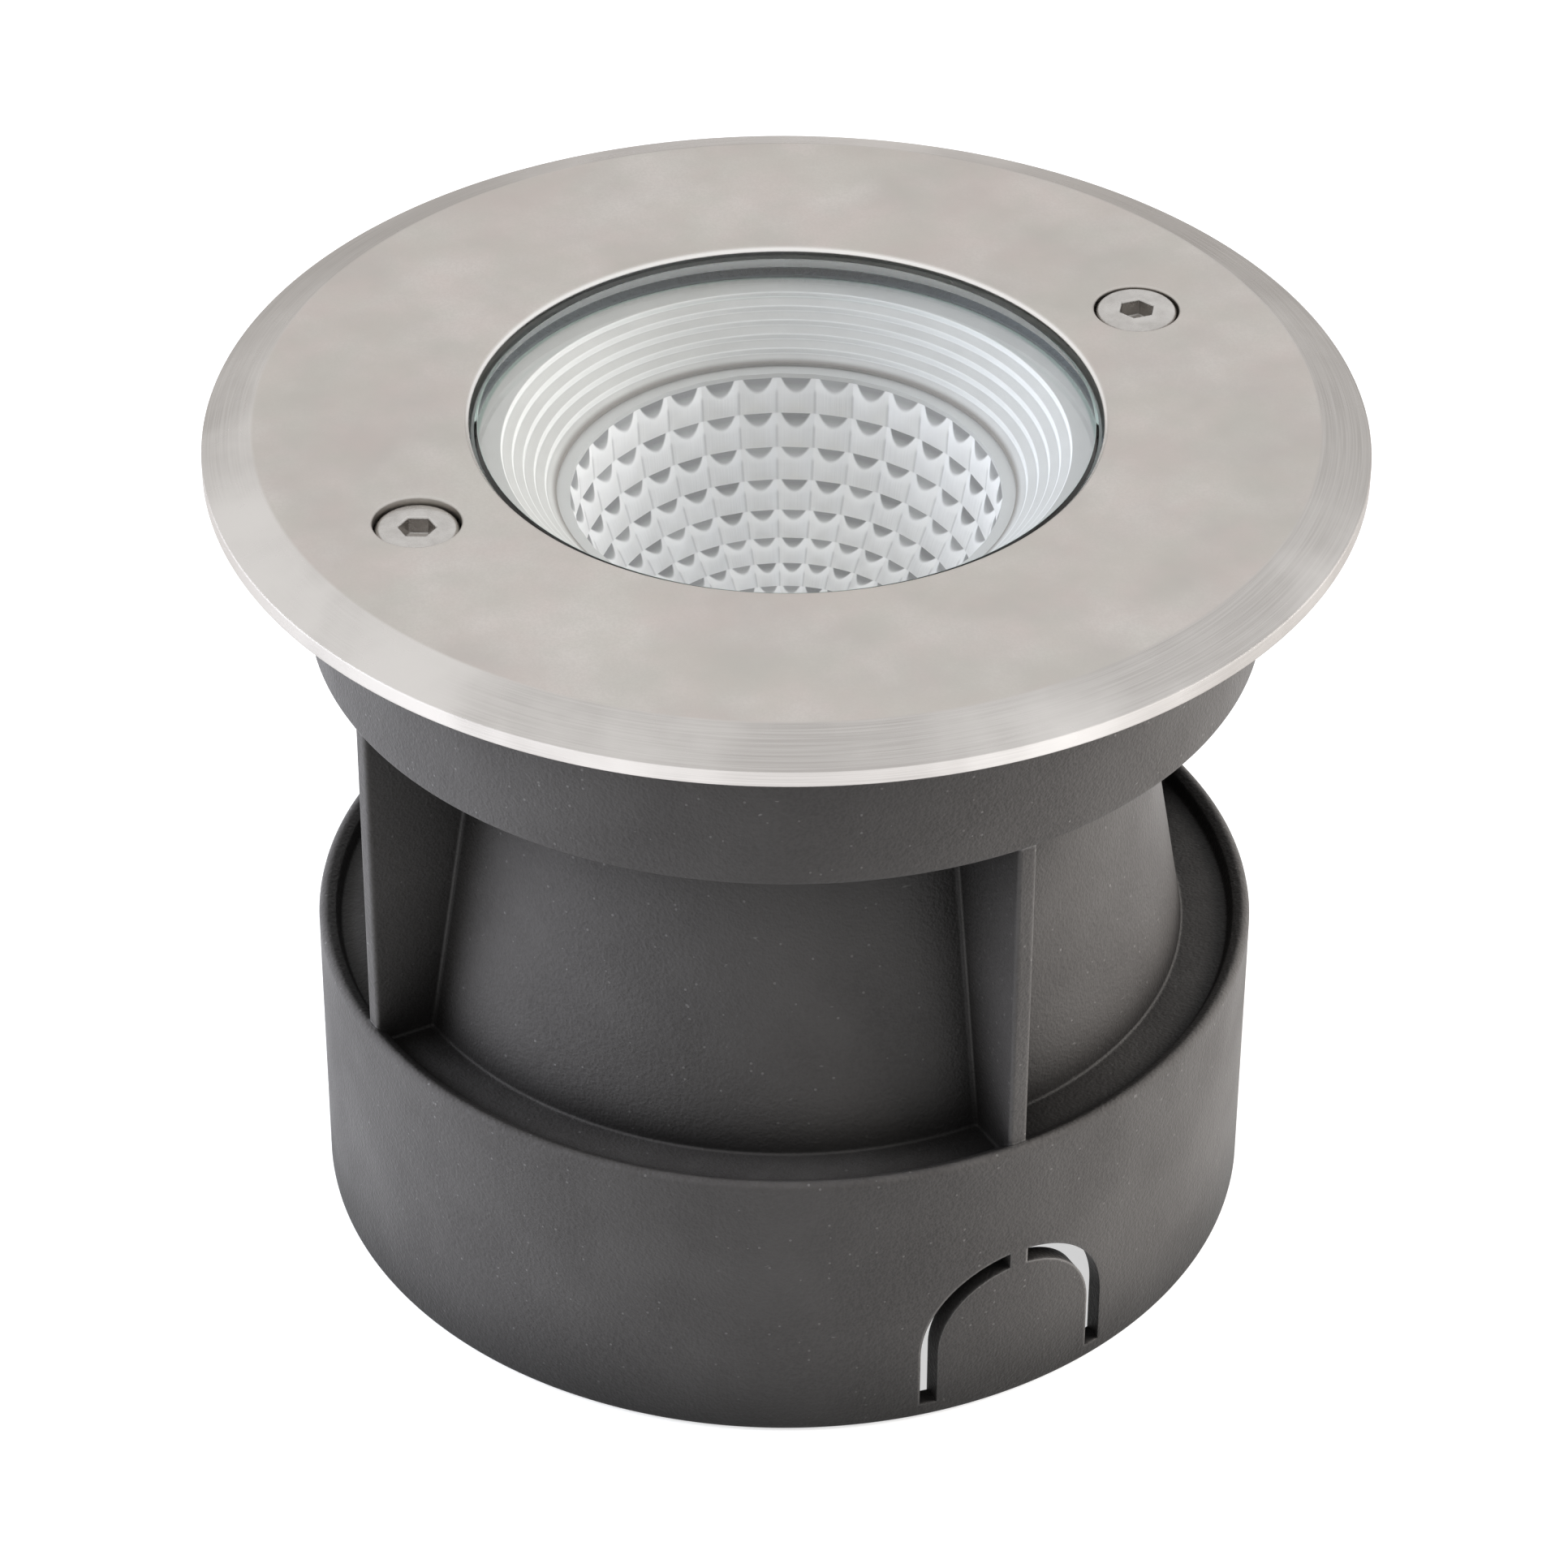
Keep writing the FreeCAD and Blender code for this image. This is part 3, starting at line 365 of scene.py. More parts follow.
def workedMetal(name, own):
    # metal with cloudy tone, fine grain, brighter worn edges and hairline scuffs
    tree, shader, place = newMaterial(name)
    patch = cloudy(tree, place, own.patchScale, 0.2)
    grain = grainOf(tree, place, own.grainScale)
    edge = useGroup(tree, softEdges, Radius=own.edgeRadius)
    scuff = useGroup(tree, scuffs, Vector=place, Scale=120.0, Amount=own.scuff)["Mask"]
    colour = blendColours(tree, patch, own.dark, own.light)
    colour = tinted(tree, colour, own.light, grain["Mask"], 0.3)
    colour = tinted(tree, colour, own.worn, edge["Mask"], own.edgeWear)
    rough = spread(tree, patch, 0.0, 1.0, own.rough + 0.06, own.rough - 0.04)
    feed(tree, shader, {
        "Base Color": colour,
        "Roughness": timesPlus(tree, scuff, 0.15, rough),
        "Normal": bumpOf(tree, grain["Height"], own.grainDepth, edge["Normal"]),
        "Metallic": own.metallic,
    })


# the occlusion settings give a painted shade in recesses: how far it looks, where it starts, where it is
# full, and how strong it is
plasticBase = {
    "grimeStart": 0.85, "grimeFull": 0.45, "grainShare": 0.6, "scuffShare": 0.5, "speckShare": 0.35,
    "grainDepth": 0.00003, "edgeWear": 0.2, "scuff": 0.02, "speckScale": 900.0, "dust": 0.0,
    "specular": 0.5, "grime": 0.3, "grimeReach": 0.002,
}

plasticSets = {
    # the sleeve gets a strong, far-reaching painted shade, darkest in its gutter
    "sleevePlastic": {
        "dark": (0.048, 0.0452, 0.0438), "light": (0.07, 0.0665, 0.0642), "worn": (0.23, 0.224, 0.218),
        "patchScale": 28.0, "grainScale": 1500.0, "grainDepth": 0.0001, "edgeRadius": 0.0006,
        "edgeWear": 0.72, "scuff": 0.05, "dust": 0.08, "rough": 0.56, "specular": 0.22, "grime": 0.95,
        "grimeReach": 0.024,
    },
    "whitePlastic": {
        "dark": (0.7, 0.69, 0.66), "light": (0.8, 0.79, 0.77), "worn": (0.62, 0.6, 0.56),
        "patchScale": 60.0, "grainScale": 2200.0, "grainDepth": 0.00002, "edgeRadius": 0.0002,
        "scuff": 0.04, "speckScale": 600.0, "dust": 0.1, "rough": 0.42,
    },
    "driverPlastic": {
        "dark": (0.02, 0.02, 0.021), "light": (0.034, 0.034, 0.035), "worn": (0.11, 0.11, 0.11),
        "patchScale": 50.0, "grainScale": 2000.0, "edgeRadius": 0.0003, "edgeWear": 0.4, "scuff": 0.06,
        "speckScale": 600.0, "dust": 0.1, "rough": 0.5,
    },
    "blackNylon": {
        "dark": (0.014, 0.014, 0.015), "light": (0.026, 0.026, 0.026), "worn": (0.09, 0.09, 0.09),
        "patchScale": 45.0, "grainScale": 1800.0, "edgeRadius": 0.0004, "edgeWear": 0.35, "scuff": 0.07,
        "speckScale": 500.0, "dust": 0.12, "rough": 0.4,
    },
    "sealRubber": {
        "dark": (0.068, 0.083, 0.093), "light": (0.1, 0.122, 0.135), "worn": (0.15, 0.175, 0.19),
        "patchScale": 50.0, "grainScale": 2500.0, "grainDepth": 0.00002, "edgeRadius": 0.0002,
        "speckScale": 700.0, "dust": 0.2, "rough": 0.7, "specular": 0.35,
    },
    "potting": {
        "dark": (0.01, 0.01, 0.011), "light": (0.018, 0.018, 0.019), "worn": (0.05, 0.05, 0.05),
        "patchScale": 90.0, "grainScale": 600.0, "grainDepth": 0.00005, "edgeRadius": 0.0004,
        "edgeWear": 0.1, "dust": 0.05, "rough": 0.25,
    },
    "padSilicone": {
        "dark": (0.3, 0.33, 0.36), "light": (0.38, 0.41, 0.44), "worn": (0.5, 0.52, 0.54),
        "patchScale": 90.0, "grainScale": 1500.0, "edgeRadius": 0.0001, "edgeWear": 0.1, "rough": 0.75,
        "specular": 0.3,
    },
    "boardCeramic": {
        "dark": (0.76, 0.76, 0.74), "light": (0.84, 0.84, 0.82), "worn": (0.9, 0.9, 0.88),
        "patchScale": 120.0, "grainScale": 2600.0, "grainDepth": 0.00001, "edgeRadius": 0.0001,
        "edgeWear": 0.1, "rough": 0.3,
    },
    "phosphor": {
        "dark": (0.78, 0.6, 0.12), "light": (0.85, 0.7, 0.2), "worn": (0.9, 0.8, 0.35),
        "patchScale": 400.0, "grainScale": 2600.0, "edgeRadius": 0.0003, "scuff": 0.0, "rough": 0.38,
        "specular": 0.45,
    },
}

metalBase = {
    "grainScale": 2600.0, "grainDepth": 0.00002, "edgeRadius": 0.0002, "scuff": 0.06, "metallic": 1.0,
}

metalSets = {
    "screwSteel": {
        "dark": (0.42, 0.4, 0.38), "light": (0.58, 0.56, 0.54), "worn": (0.8, 0.79, 0.77),
        "patchScale": 160.0, "edgeRadius": 0.00025, "edgeWear": 0.6, "scuff": 0.1, "rough": 0.27,
    },
    "brass": {
        "dark": (0.52, 0.36, 0.13), "light": (0.7, 0.5, 0.2), "worn": (0.85, 0.68, 0.34),
        "patchScale": 140.0, "edgeWear": 0.5, "rough": 0.3,
    },
    "castAluminium": {
        "dark": (0.36, 0.37, 0.38), "light": (0.5, 0.51, 0.52), "worn": (0.7, 0.71, 0.72),
        "patchScale": 45.0, "grainScale": 900.0, "grainDepth": 0.00008, "edgeRadius": 0.0005,
        "edgeWear": 0.35, "scuff": 0.05, "rough": 0.5, "metallic": 0.9,
    },
    "zincSteel": {
        "dark": (0.5, 0.5, 0.48), "light": (0.66, 0.67, 0.66), "worn": (0.82, 0.82, 0.82),
        "patchScale": 180.0, "edgeWear": 0.4, "rough": 0.33,
    },
}

leadColours = {
    "lead_red": (0.42, 0.015, 0.012),
    "lead_black": (0.014, 0.014, 0.014),
    "lead_brown": (0.12, 0.045, 0.018),
    "lead_blue": (0.015, 0.07, 0.32),
    "lead_green": (0.06, 0.25, 0.03),
}


def leadInsulation(name, colour):
    # soft glossy insulation: cloudy colour over a fine grain
    tree, shader, place = newMaterial(name)
    patch = cloudy(tree, place, 160.0, 0.3)
    grain = grainOf(tree, place, 2400.0)
    darker = tuple(0.75 * part for part in colour)
    feed(tree, shader, {
        "Base Color": blendColours(tree, patch, darker, colour),
        "Roughness": spread(tree, patch, 0.0, 1.0, 0.36, 0.28),
        "Normal": bumpOf(tree, grain["Height"], 0.00001),
    })


# the lip colour is a painted highlight round the opening
plateSet = {
    "dull": (0.515, 0.482, 0.458), "clear": (0.66, 0.626, 0.597), "rosy": (0.59, 0.515, 0.488),
    "olive": (0.51, 0.51, 0.462), "bevelBright": (0.69, 0.665, 0.642),
    "bevelDull": (0.45, 0.428, 0.41), "lip": (0.84, 0.82, 0.8), "lipEnd": 0.0399,
    "grazing": (0.56, 0.54, 0.52), "bevelStart": 0.0662, "bevelBlend": 0.0003, "topRough": 0.38,
    "bevelRough": 0.3, "grainShare": 0.35, "rosyShare": 0.4, "oliveShare": 0.35,
    "brushShare": 0.35, "edgeShare": 0.5,
}


def stainlessPlate(own):
    # satin top face with cloudy warm and olive tints, concentric brushing on the bevel and the edge
    tree, shader, place = newMaterial("stainlessPlate")
    patch = cloudy(tree, place, 34.0, 0.2)
    warm = cloudy(tree, place, 52.0, 0.12)
    moved = addNode(tree, "Mapping", {"Vector": place, "Location": (0.31, 0.17, 0.0)}).outputs[0]
    green = cloudy(tree, moved, 61.0, 0.12)
    grain = grainOf(tree, place, 2400.0)
    turned = useGroup(tree, turnedMarks, Vector=place, Fineness=9000.0, Length=60.0)
    scuff = useGroup(tree, scuffs, Vector=place, Scale=70.0, Amount=0.07)["Mask"]
    edge = useGroup(tree, softEdges, Radius=0.0003)
    radius = axisDistance(tree, place)
    start = own.bevelStart
    onBevel = spread(tree, radius, start - own.bevelBlend, start + own.bevelBlend)
    colour = blendColours(tree, patch, own.dull, own.clear)
    colour = tinted(tree, colour, own.dull, grain["Mask"], own.grainShare)
    colour = tinted(tree, colour, own.rosy, warm, own.rosyShare)
    colour = tinted(tree, colour, own.olive, green, own.oliveShare)
    sector = cloudy(tree, place, 13.0, 0.1)
    brushed = blendColours(tree, sector, own.bevelDull, own.bevelBright)
    brushed = tinted(tree, brushed, own.bevelBright, turned["Mask"], own.brushShare)
    colour = blendColours(tree, onBevel, colour, brushed)
    # painted highlight: the lip round the opening is painted near white, and its roughness is lower too
    atLip = spread(tree, radius, own.lipEnd, own.lipEnd - own.bevelBlend)
    colour = blendColours(tree, atLip, colour, own.lip)
    colour = tinted(tree, colour, own.bevelBright, edge["Mask"], own.edgeShare)
    rough = spread(tree, onBevel, 0.0, 1.0, own.topRough, own.bevelRough)
    rough = timesPlus(tree, patch, -0.05, rough)
    rough = timesPlus(tree, scuff, 0.12, rough)
    rough = timesPlus(tree, atLip, -0.18, rough)
    height = times(tree, turned["Height"], spread(tree, onBevel, 0.0, 1.0, 0.15, 0.8))
    height = timesPlus(tree, grain["Height"], 0.6, height)
    around = addNode(tree, "Tangent", {}, direction_type="RADIAL", axis="Z")
    feed(tree, shader, {
        "Base Color": colour,
        "Roughness": rough,
        "Normal": bumpOf(tree, height, 0.000007, edge["Normal"]),
        "Specular Tint": own.grazing,
        "Metallic": 1.0,
        "Anisotropic": times(tree, onBevel, 0.7),
        "Tangent": around.outputs[0],
    })


glassSet = {"tint": (0.986, 0.993, 0.991), "edgeTint": (0.42, 0.62, 0.56),
            "groundEdge": (0.9, 0.97, 0.95), "rim": 0.0381, "ground": 0.0387, "rough": 0.004,
            "frosted": 0.7}


def clearGlass(own):
    # clear glass: wipe marks in its gloss and a frosted ground edge; lamps shine through it
    tree, shader, place = newMaterial("clearGlass")
    smear = cloudy(tree, place, 30.0, 0.15)
    radius = axisDistance(tree, place)
    atRim = spread(tree, radius, own.rim, own.rim + 0.0004)
    atGround = spread(tree, radius, own.ground, own.ground + 0.0002)
    colour = blendColours(tree, atRim, own.tint, own.edgeTint)
    rough = spread(tree, smear, 0.0, 1.0, own.rough, own.rough * 2.5)
    rough = timesPlus(tree, atGround, own.frosted, rough)
    feed(tree, shader, {
        "Base Color": blendColours(tree, atGround, colour, own.groundEdge),
        "Transmission Weight": 1.0,
        "IOR": 1.5,
        "Roughness": rough,
    })
    clear = addNode(tree, "BsdfTransparent", {"Color": own.tint})
    path = addNode(tree, "LightPath", {})
    inputs = {0: path.outputs["Is Shadow Ray"], 1: shader.outputs[0], 2: clear.outputs[0]}
    mixed = addNode(tree, "MixShader", inputs)
    feed(tree, tree.nodes["Material Output"], {"Surface": mixed.outputs[0]})


# the palest colour here is a painted highlight on each step's upright face, the groove colour a painted
# shade at each step's foot, and the darkest colour a painted shadow on and under the lip
baffleFinish = {
    "mouth": 35.4, "lip": 28.7, "steps": 5, "crestWidth": 0.28, "landStart": 0.036,
    "dark": (0.44, 0.44, 0.431), "light": (0.5, 0.5, 0.49),
    "groove": (0.38, 0.385, 0.385), "worn": (0.68, 0.685, 0.68),
    "lipShade": (0.17, 0.155, 0.14), "lipLevel": 0.09958,
}

# shade is the colour of the painted reflection in each crescent, glint the colour of the painted highlights
reflectorSet = {
    "columns": 34, "rows": 11, "shrink": 0.93, "band": 0.65, "rim": 27.1, "semiDepth": 31.3,
    "exit": 7.5, "wall": 1.1, "flange": 1.2, "pillow": 0.45, "across": 8, "down": 7,
    "shade": (0.11, 0.113, 0.118), "bright": (0.93, 0.93, 0.935), "soft": (0.82, 0.82, 0.825),
    "glint": (0.97, 0.97, 0.975), "groove": (0.5, 0.5, 0.51), "bandColour": (0.53, 0.535, 0.53),
    "crescentWidth": 0.8, "crescentHeight": 0.4, "sharpAngle": 14.0,
}


def metallisedMirror(own, topLevel):
    # bright metallised facets with painted reflections: a dark crescent along each facet's upper edge,
    # painted highlights at its upper corners and foot, and paler streaks down it
    tree, shader, place = newMaterial("metallisedMirror")
    parts = addNode(tree, "SeparateXYZ", {0: place}).outputs
    turn = mathOf(tree, "ARCTAN2", parts[1], parts[0])
    columnPlace = times(tree, turn, own.columns / (2 * math.pi))
    across = mathOf(tree, "FRACT", columnPlace)
    deep = mathOf(tree, "SUBTRACT", topLevel, parts[2])
    share = times(tree, deep, 1 / (own.semiDepth * mm))
    angle = mathOf(tree, "ARCSINE", mathOf(tree, "MINIMUM", mathOf(tree, "MAXIMUM", share, 0.0), 1.0))
    endAngle = math.acos(own.exit / own.rim)
    startAngle = math.asin(own.band / own.semiDepth)
    fall = (1 - own.shrink ** own.rows) / (endAngle - startAngle)
    left = timesPlus(tree, mathOf(tree, "SUBTRACT", angle, startAngle), -fall, 1.0)
    rowPlace = mathOf(tree, "LOGARITHM", mathOf(tree, "MAXIMUM", left, 0.01), own.shrink)
    down = mathOf(tree, "FRACT", rowPlace)
    middle = mathOf(tree, "SUBTRACT", times(tree, across, 2.0), 1.0)
    narrowed = mathOf(tree, "DIVIDE", middle, own.crescentWidth)
    bow = mathOf(tree, "MAXIMUM", mathOf(tree, "SUBTRACT", 1.0, times(tree, narrowed, narrowed)), 0.0)
    numbers = {0: mathOf(tree, "FLOOR", columnPlace), 1: mathOf(tree, "FLOOR", rowPlace)}
    facet = addNode(tree, "CombineXYZ", numbers).outputs[0]
    chance = addNode(tree, "TexWhiteNoise", {"Vector": facet}).outputs["Value"]
    tall = timesPlus(tree, share, -0.16, own.crescentHeight)
    tall = times(tree, tall, timesPlus(tree, chance, 0.24, 0.86))
    limit = times(tree, mathOf(tree, "POWER", bow, 0.9), tall)
    below = mathOf(tree, "SUBTRACT", down, limit)
    inside = mathOf(tree, "GREATER_THAN", deep, own.band * mm)
    # painted reflection: a dark crescent hugging each facet's upper edge
    crescent = times(tree, spread(tree, below, 0.03, -0.1), inside)
    upper = times(tree, spread(tree, down, 0.46, 0.3), inside)
    sideGroove = spread(tree, mathOf(tree, "ABSOLUTE", middle), 0.86, 1.0)
    groove = times(tree, times(tree, sideGroove, spread(tree, down, 0.25, 0.45)), inside)
    foot = times(tree, spread(tree, down, 0.72, 0.97), inside)
    streakPlace = addNode(tree, "CombineXYZ", {0: times(tree, turn, 60.0), 1: deep}).outputs[0]
    streak = noiseOf(tree, streakPlace, 2.2, 3.0)
    streak = times(tree, spread(tree, streak, 0.42, 0.6), inside)
    patch = cloudy(tree, place, 90.0, 0.25)
    grain = grainOf(tree, place, 1800.0)
    colour = blendColours(tree, patch, own.soft, own.bright)
    colour = tinted(tree, colour, own.glint, streak, 0.6)
    # painted highlights: pale glints at each facet's upper corners and along its foot
    pale = mathOf(tree, "MAXIMUM", times(tree, upper, 0.65), times(tree, foot, 0.2))
    colour = blendColours(tree, pale, colour, own.glint)
    colour = tinted(tree, colour, own.groove, groove, 0.55)
    paler = spread(tree, mathOf(tree, "DIVIDE", down, tall), 0.2, 1.0, 1.0, 0.62)
    paler = times(tree, paler, timesPlus(tree, chance, 0.2, 0.8))
    colour = tinted(tree, colour, own.shade, crescent, paler)
    colour = blendColours(tree, inside, own.bandColour, colour)
    feed(tree, shader, {
        "Base Color": colour,
        "Roughness": spread(tree, patch, 0.0, 1.0, 0.46, 0.38),
        "Normal": bumpOf(tree, grain["Height"], 0.000006),
        "Metallic": 0.35,
    })


for name, own in plasticSets.items():
    mouldedPlastic(name, named({**plasticBase, **own}))
for name, own in metalSets.items():
    workedMetal(name, named({**metalBase, **own}))
for name, colour in leadColours.items():
    leadInsulation(name, colour)
stainlessPlate(named(plateSet))
clearGlass(named(glassSet))
paintedBaffle(named(baffleFinish))
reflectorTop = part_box("reflector")[1].z
metallisedMirror(named(reflectorSet), reflectorTop)
print("finishes ready:", len(materials))


# Shapes worked out on grids

def gridFaces(rows, columns, rowLoop):
    # one four-sided face between neighbouring rows and columns
    row = np.arange(rows if rowLoop else rows - 1)[:, None]
    column = np.arange(columns)[None, :]
    nextRow = (row + 1) % rows
    nextColumn = (column + 1) % columns
    corners = [row * columns + column, row * columns + nextColumn,
               nextRow * columns + nextColumn, nextRow * columns + column]
    return np.stack(corners, axis=-1).reshape(-1, 4)


def softOutline(corners, steps=5, loop=True):
    # each corner (radius, height, round) becomes an arc that meets both its sides at a tangent
    corners = np.array(corners, float)
    count = len(corners)
    pieces = []
    for index, (radius, height, bend) in enumerate(corners):
        here = np.array([radius, height])
        if bend == 0 or (not loop and index in (0, count - 1)):
            pieces.append(here[None, :])
            continue
        before = corners[index - 1, :2] - here
        after = corners[(index + 1) % count, :2] - here
        before /= np.linalg.norm(before)
        after /= np.linalg.norm(after)
        half = math.acos(np.clip(before @ after, -1, 1)) / 2
        middle = here + (before + after) / np.linalg.norm(before + after) * bend / math.sin(half)
        first = here + before * bend / math.tan(half) - middle
        last = here + after * bend / math.tan(half) - middle
        sweep = math.pi - 2 * half
        share = np.linspace(0, sweep, steps + 1)[:, None]
        pieces.append(middle + (np.sin(sweep - share) * first + np.sin(share) * last) / math.sin(sweep))
    return np.concatenate(pieces)


def polar(radius, angle, level):
    # x = radius cos(angle), y = radius sin(angle), z = level
    return np.stack([radius * np.cos(angle), radius * np.sin(angle), level + 0 * angle], axis=-1)


def lathe(rings, steps, middle=0.0, loop=True):
    # rings of (radius, level) about an axis at x = middle; a radius is one number or one for each angle
    angle = np.linspace(0, 2 * np.pi, steps, endpoint=False)
    radius = np.array([ring + 0 * angle for ring, level in rings])
    levels = np.array([level for ring, level in rings])[:, None]
    points = polar(radius, angle, levels).reshape(-1, 3) + (middle, 0.0, 0.0)
    return points, gridFaces(len(rings), steps, loop)


def prism(outline, low, high):
    # a closed flat outline of (x, z) points given a length along y
    count = len(outline)
    near = np.insert(outline, 1, low, axis=1)
    far = np.insert(outline, 1, high, axis=1)
    index = np.arange(count)
    following = (index + 1) % count
    sides = np.stack([index, following, following + count, index + count], axis=-1).tolist()
    return np.concatenate([near, far]), sides + [index.tolist(), (index + count).tolist()[::-1]]


def meshOf(name, shells):
    # several shells of (points in millimetres, faces) joined in one mesh, doubles merged
    points = []
    faces = []
    start = 0
    for shellPoints, shellFaces in shells:
        points.append(np.asarray(shellPoints) * mm)
        rows = np.asarray(shellFaces, object).tolist()
        faces.extend([[corner + start for corner in face] for face in rows])
        start += len(shellPoints)
    mesh = bpy.data.meshes.new(name)
    mesh.from_pydata(np.concatenate(points).tolist(), [], faces)
    work = bmesh.new()
    work.from_mesh(mesh)
    bmesh.ops.remove_doubles(work, verts=work.verts, dist=1e-7)
    bmesh.ops.dissolve_degenerate(work, edges=work.edges, dist=1e-7)
    bmesh.ops.recalc_face_normals(work, faces=work.faces)
    work.to_mesh(mesh)
    work.free()
    return mesh


def cutBy(mesh, cutters):
    # the mesh less each cutter, by the exact boolean, as a new mesh
    body = linked("cutBody", mesh)
    tool = linked("cutTool", meshOf("cutTool", cutters))
    cut = body.modifiers.new("cut", "BOOLEAN")
    cut.operation = "DIFFERENCE"
    cut.solver = "EXACT"
    cut.object = tool
    graph = bpy.context.evaluated_depsgraph_get()
    result = bpy.data.meshes.new_from_object(body.evaluated_get(graph))
    for thing in (body, tool):
        bpy.data.objects.remove(thing)
    return result


def placePiece(name, mesh, body, material, replaced, sharpAngle=32.0):
    mesh.name = name
    mesh.shade_smooth()
    mesh.set_sharp_from_angle(angle=math.radians(sharpAngle))
    mesh.materials.clear()
    mesh.materials.append(materials[material])
    made = linked(name, mesh)
    flatter = made.modifiers.new("flatFaces", "WEIGHTED_NORMAL")  # wide faces keep their own direction
    flatter.keep_sharp = True
    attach(made, body)
    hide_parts(*replaced)


# Mounting sleeve: skirt, gutter, tapered neck, ribs, collar and screw posts

sleeveSet = {
    "skirtRadius": 61.0, "skirtHeight": 40.9, "neckHeight": 45.2, "neckTop": 44.0, "neckBase": 51.6,
    "collarRadius": 60.3, "plateLevel": 109.9, "wall": 2.5, "rimDrop": 1.2, "gutterDepth": 1.6,
    "ribThickness": 2.5, "ribRoot": 0.35, "edgeRound": 0.8, "smallRound": 0.3, "slotWidth": 2.25,
    "tabWidth": 22.0, "tabHeight": 21.3, "tabFoot": 2.2, "tabWeb": 2.5, "noseRound": 0.5,
    "ribOverlap": 0.6, "ribSink": 0.05, "ribBury": 1.2, "postBore": 3.3, "postBoreFoot": 2.5,
    "screwCircle": 51.0, "postRadius": 5.6, "postTop": 108.1, "insertRadius": 4.0,
    "insertLength": 12.0, "insertFlange": 1.2, "insertFlangeStep": 0.6,
}
sleeve = named(sleeveSet)
sleeve.collar = sleeve.skirtHeight + sleeve.neckHeight
sleeve.gutter = sleeve.skirtHeight - sleeve.rimDrop - sleeve.gutterDepth


def neckOutside(own, height):
    share = (own.collar - height) / own.neckHeight
    return own.neckTop + share * (own.neckBase - own.neckTop)


def sleeveOutline(own):
    wall = own.wall
    gutter, collar = own.gutter, own.collar
    underGutter = gutter - wall
    bore = own.skirtRadius - wall
    big = own.edgeRound
    small = own.smallRound
    return softOutline([
        (bore, 0.0, small),
        (own.skirtRadius, 0.0, big),
        (own.skirtRadius, own.skirtHeight, big * 1.1),
        (bore + small, own.skirtHeight - own.rimDrop, small),
        (bore - big / 2, gutter, small),
        (neckOutside(own, gutter), gutter, small),
        (own.neckTop, collar, small),
        (own.collarRadius, collar, big),
        (own.collarRadius, own.plateLevel, small),
        (own.collarRadius - wall, own.plateLevel, small),
        (own.collarRadius - wall, collar + wall, big),
        (own.neckTop - wall, collar + wall, small),
        (own.neckTop - wall, collar, small),
        (neckOutside(own, underGutter) - wall, underGutter, big),
        (bore, underGutter, big),
    ])


def slotCutters(own):
    # half of each slot: the band between two round-topped doorways, from the foot to the web at the top
    half = own.tabWidth / 2
    spring = own.tabHeight - half
    reach = own.skirtRadius + 2
    depth = reach - own.wall * 2.5 - 2
    cutters = []
    for side in (-1, 1):
        for outward in (-1, 1):
            lines = []
            for radius in (half, half + own.slotWidth):
                last = math.acos(own.tabWeb / 2 / radius)
                angle = np.linspace(0, last, 40)
                arc = np.stack([radius * np.cos(angle), spring + radius * np.sin(angle)], axis=-1)
                lines.append(np.concatenate([[[radius, own.tabFoot]], arc]))
            outline = np.concatenate([lines[0], lines[1][::-1]]) * (side, 1)
            low, high = sorted((outward * depth, outward * reach))
            cutters.append(prism(outline, low, high))
    return cutters


def ribShell(own, turn):
    # a plan outline with flared root and rounded nose, carried up from the gutter to the collar
    half = own.ribThickness / 2
    root = own.ribRoot
    nose = own.collarRadius - own.edgeRound / 2
    levels = np.linspace(own.gutter - own.ribOverlap, own.collar + own.ribOverlap, 14)
    flare = np.linspace(0, np.pi / 2, 7)
    bend = np.linspace(0, np.pi / 2, 5)
    corner = own.noseRound
    sideways = np.concatenate([half + root * (1 - np.sin(flare)), half - corner * (1 - np.cos(bend))])
    rows = []
    for level in levels:
        neck = neckOutside(own, level) - own.ribSink
        along = np.concatenate([neck + root * (1 - np.cos(flare)), nose - corner + corner * np.sin(bend)])
        inner = np.array([neck - own.ribBury])
        x = np.concatenate([inner, along, along[::-1], inner])
        y = np.concatenate([[sideways[0]], sideways, -sideways[::-1], [-sideways[0]]])
        rows.append(np.stack([x, y, np.full(len(x), level)], axis=-1))
    grid = np.array(rows)
    count = grid.shape[1]
    faces = gridFaces(len(levels), count, False).tolist()
    faces.append(list(range(count)))
    faces.append([(len(levels) - 1) * count + index for index in range(count)][::-1])
    points = grid.reshape(-1, 3)
    cosine, sine = math.cos(turn), math.sin(turn)
    spun = np.stack([points[:, 0] * cosine - points[:, 1] * sine,
                     points[:, 0] * sine + points[:, 1] * cosine, points[:, 2]], axis=-1)
    return spun, faces


def postShells(own, side):
    # a round post with a stepped bore for the insert, and the web that ties it to the collar
    base = own.collar + own.wall / 2
    top = own.postTop
    bore = own.insertRadius
    step = bore + own.insertFlangeStep
    floor = top - own.insertLength - own.postBoreFoot
    outline = softOutline([
        (own.postRadius, base, 0.0),
        (own.postRadius, top, 0.3),
        (step, top, 0.15),
        (step, top - own.insertFlange, 0.0),
        (bore, top - own.insertFlange, 0.0),
        (bore, top - own.insertLength, 0.0),
        (own.postBore, top - own.insertLength, 0.0),
        (own.postBore, floor, 0.0),
        (0.0, floor, 0.0),
        (0.0, base, 0.0),
    ])
    x = side * own.screwCircle
    half = own.wall / 2
    near, far = sorted((x + side * (own.postRadius - 0.3), side * (own.collarRadius - half)))
    webTop = top - own.insertLength / 2
    web = np.array([[near, base], [far, base], [far, webTop], [near, webTop]])
    return [lathe(outline, 72, x), prism(web, -half, half)]


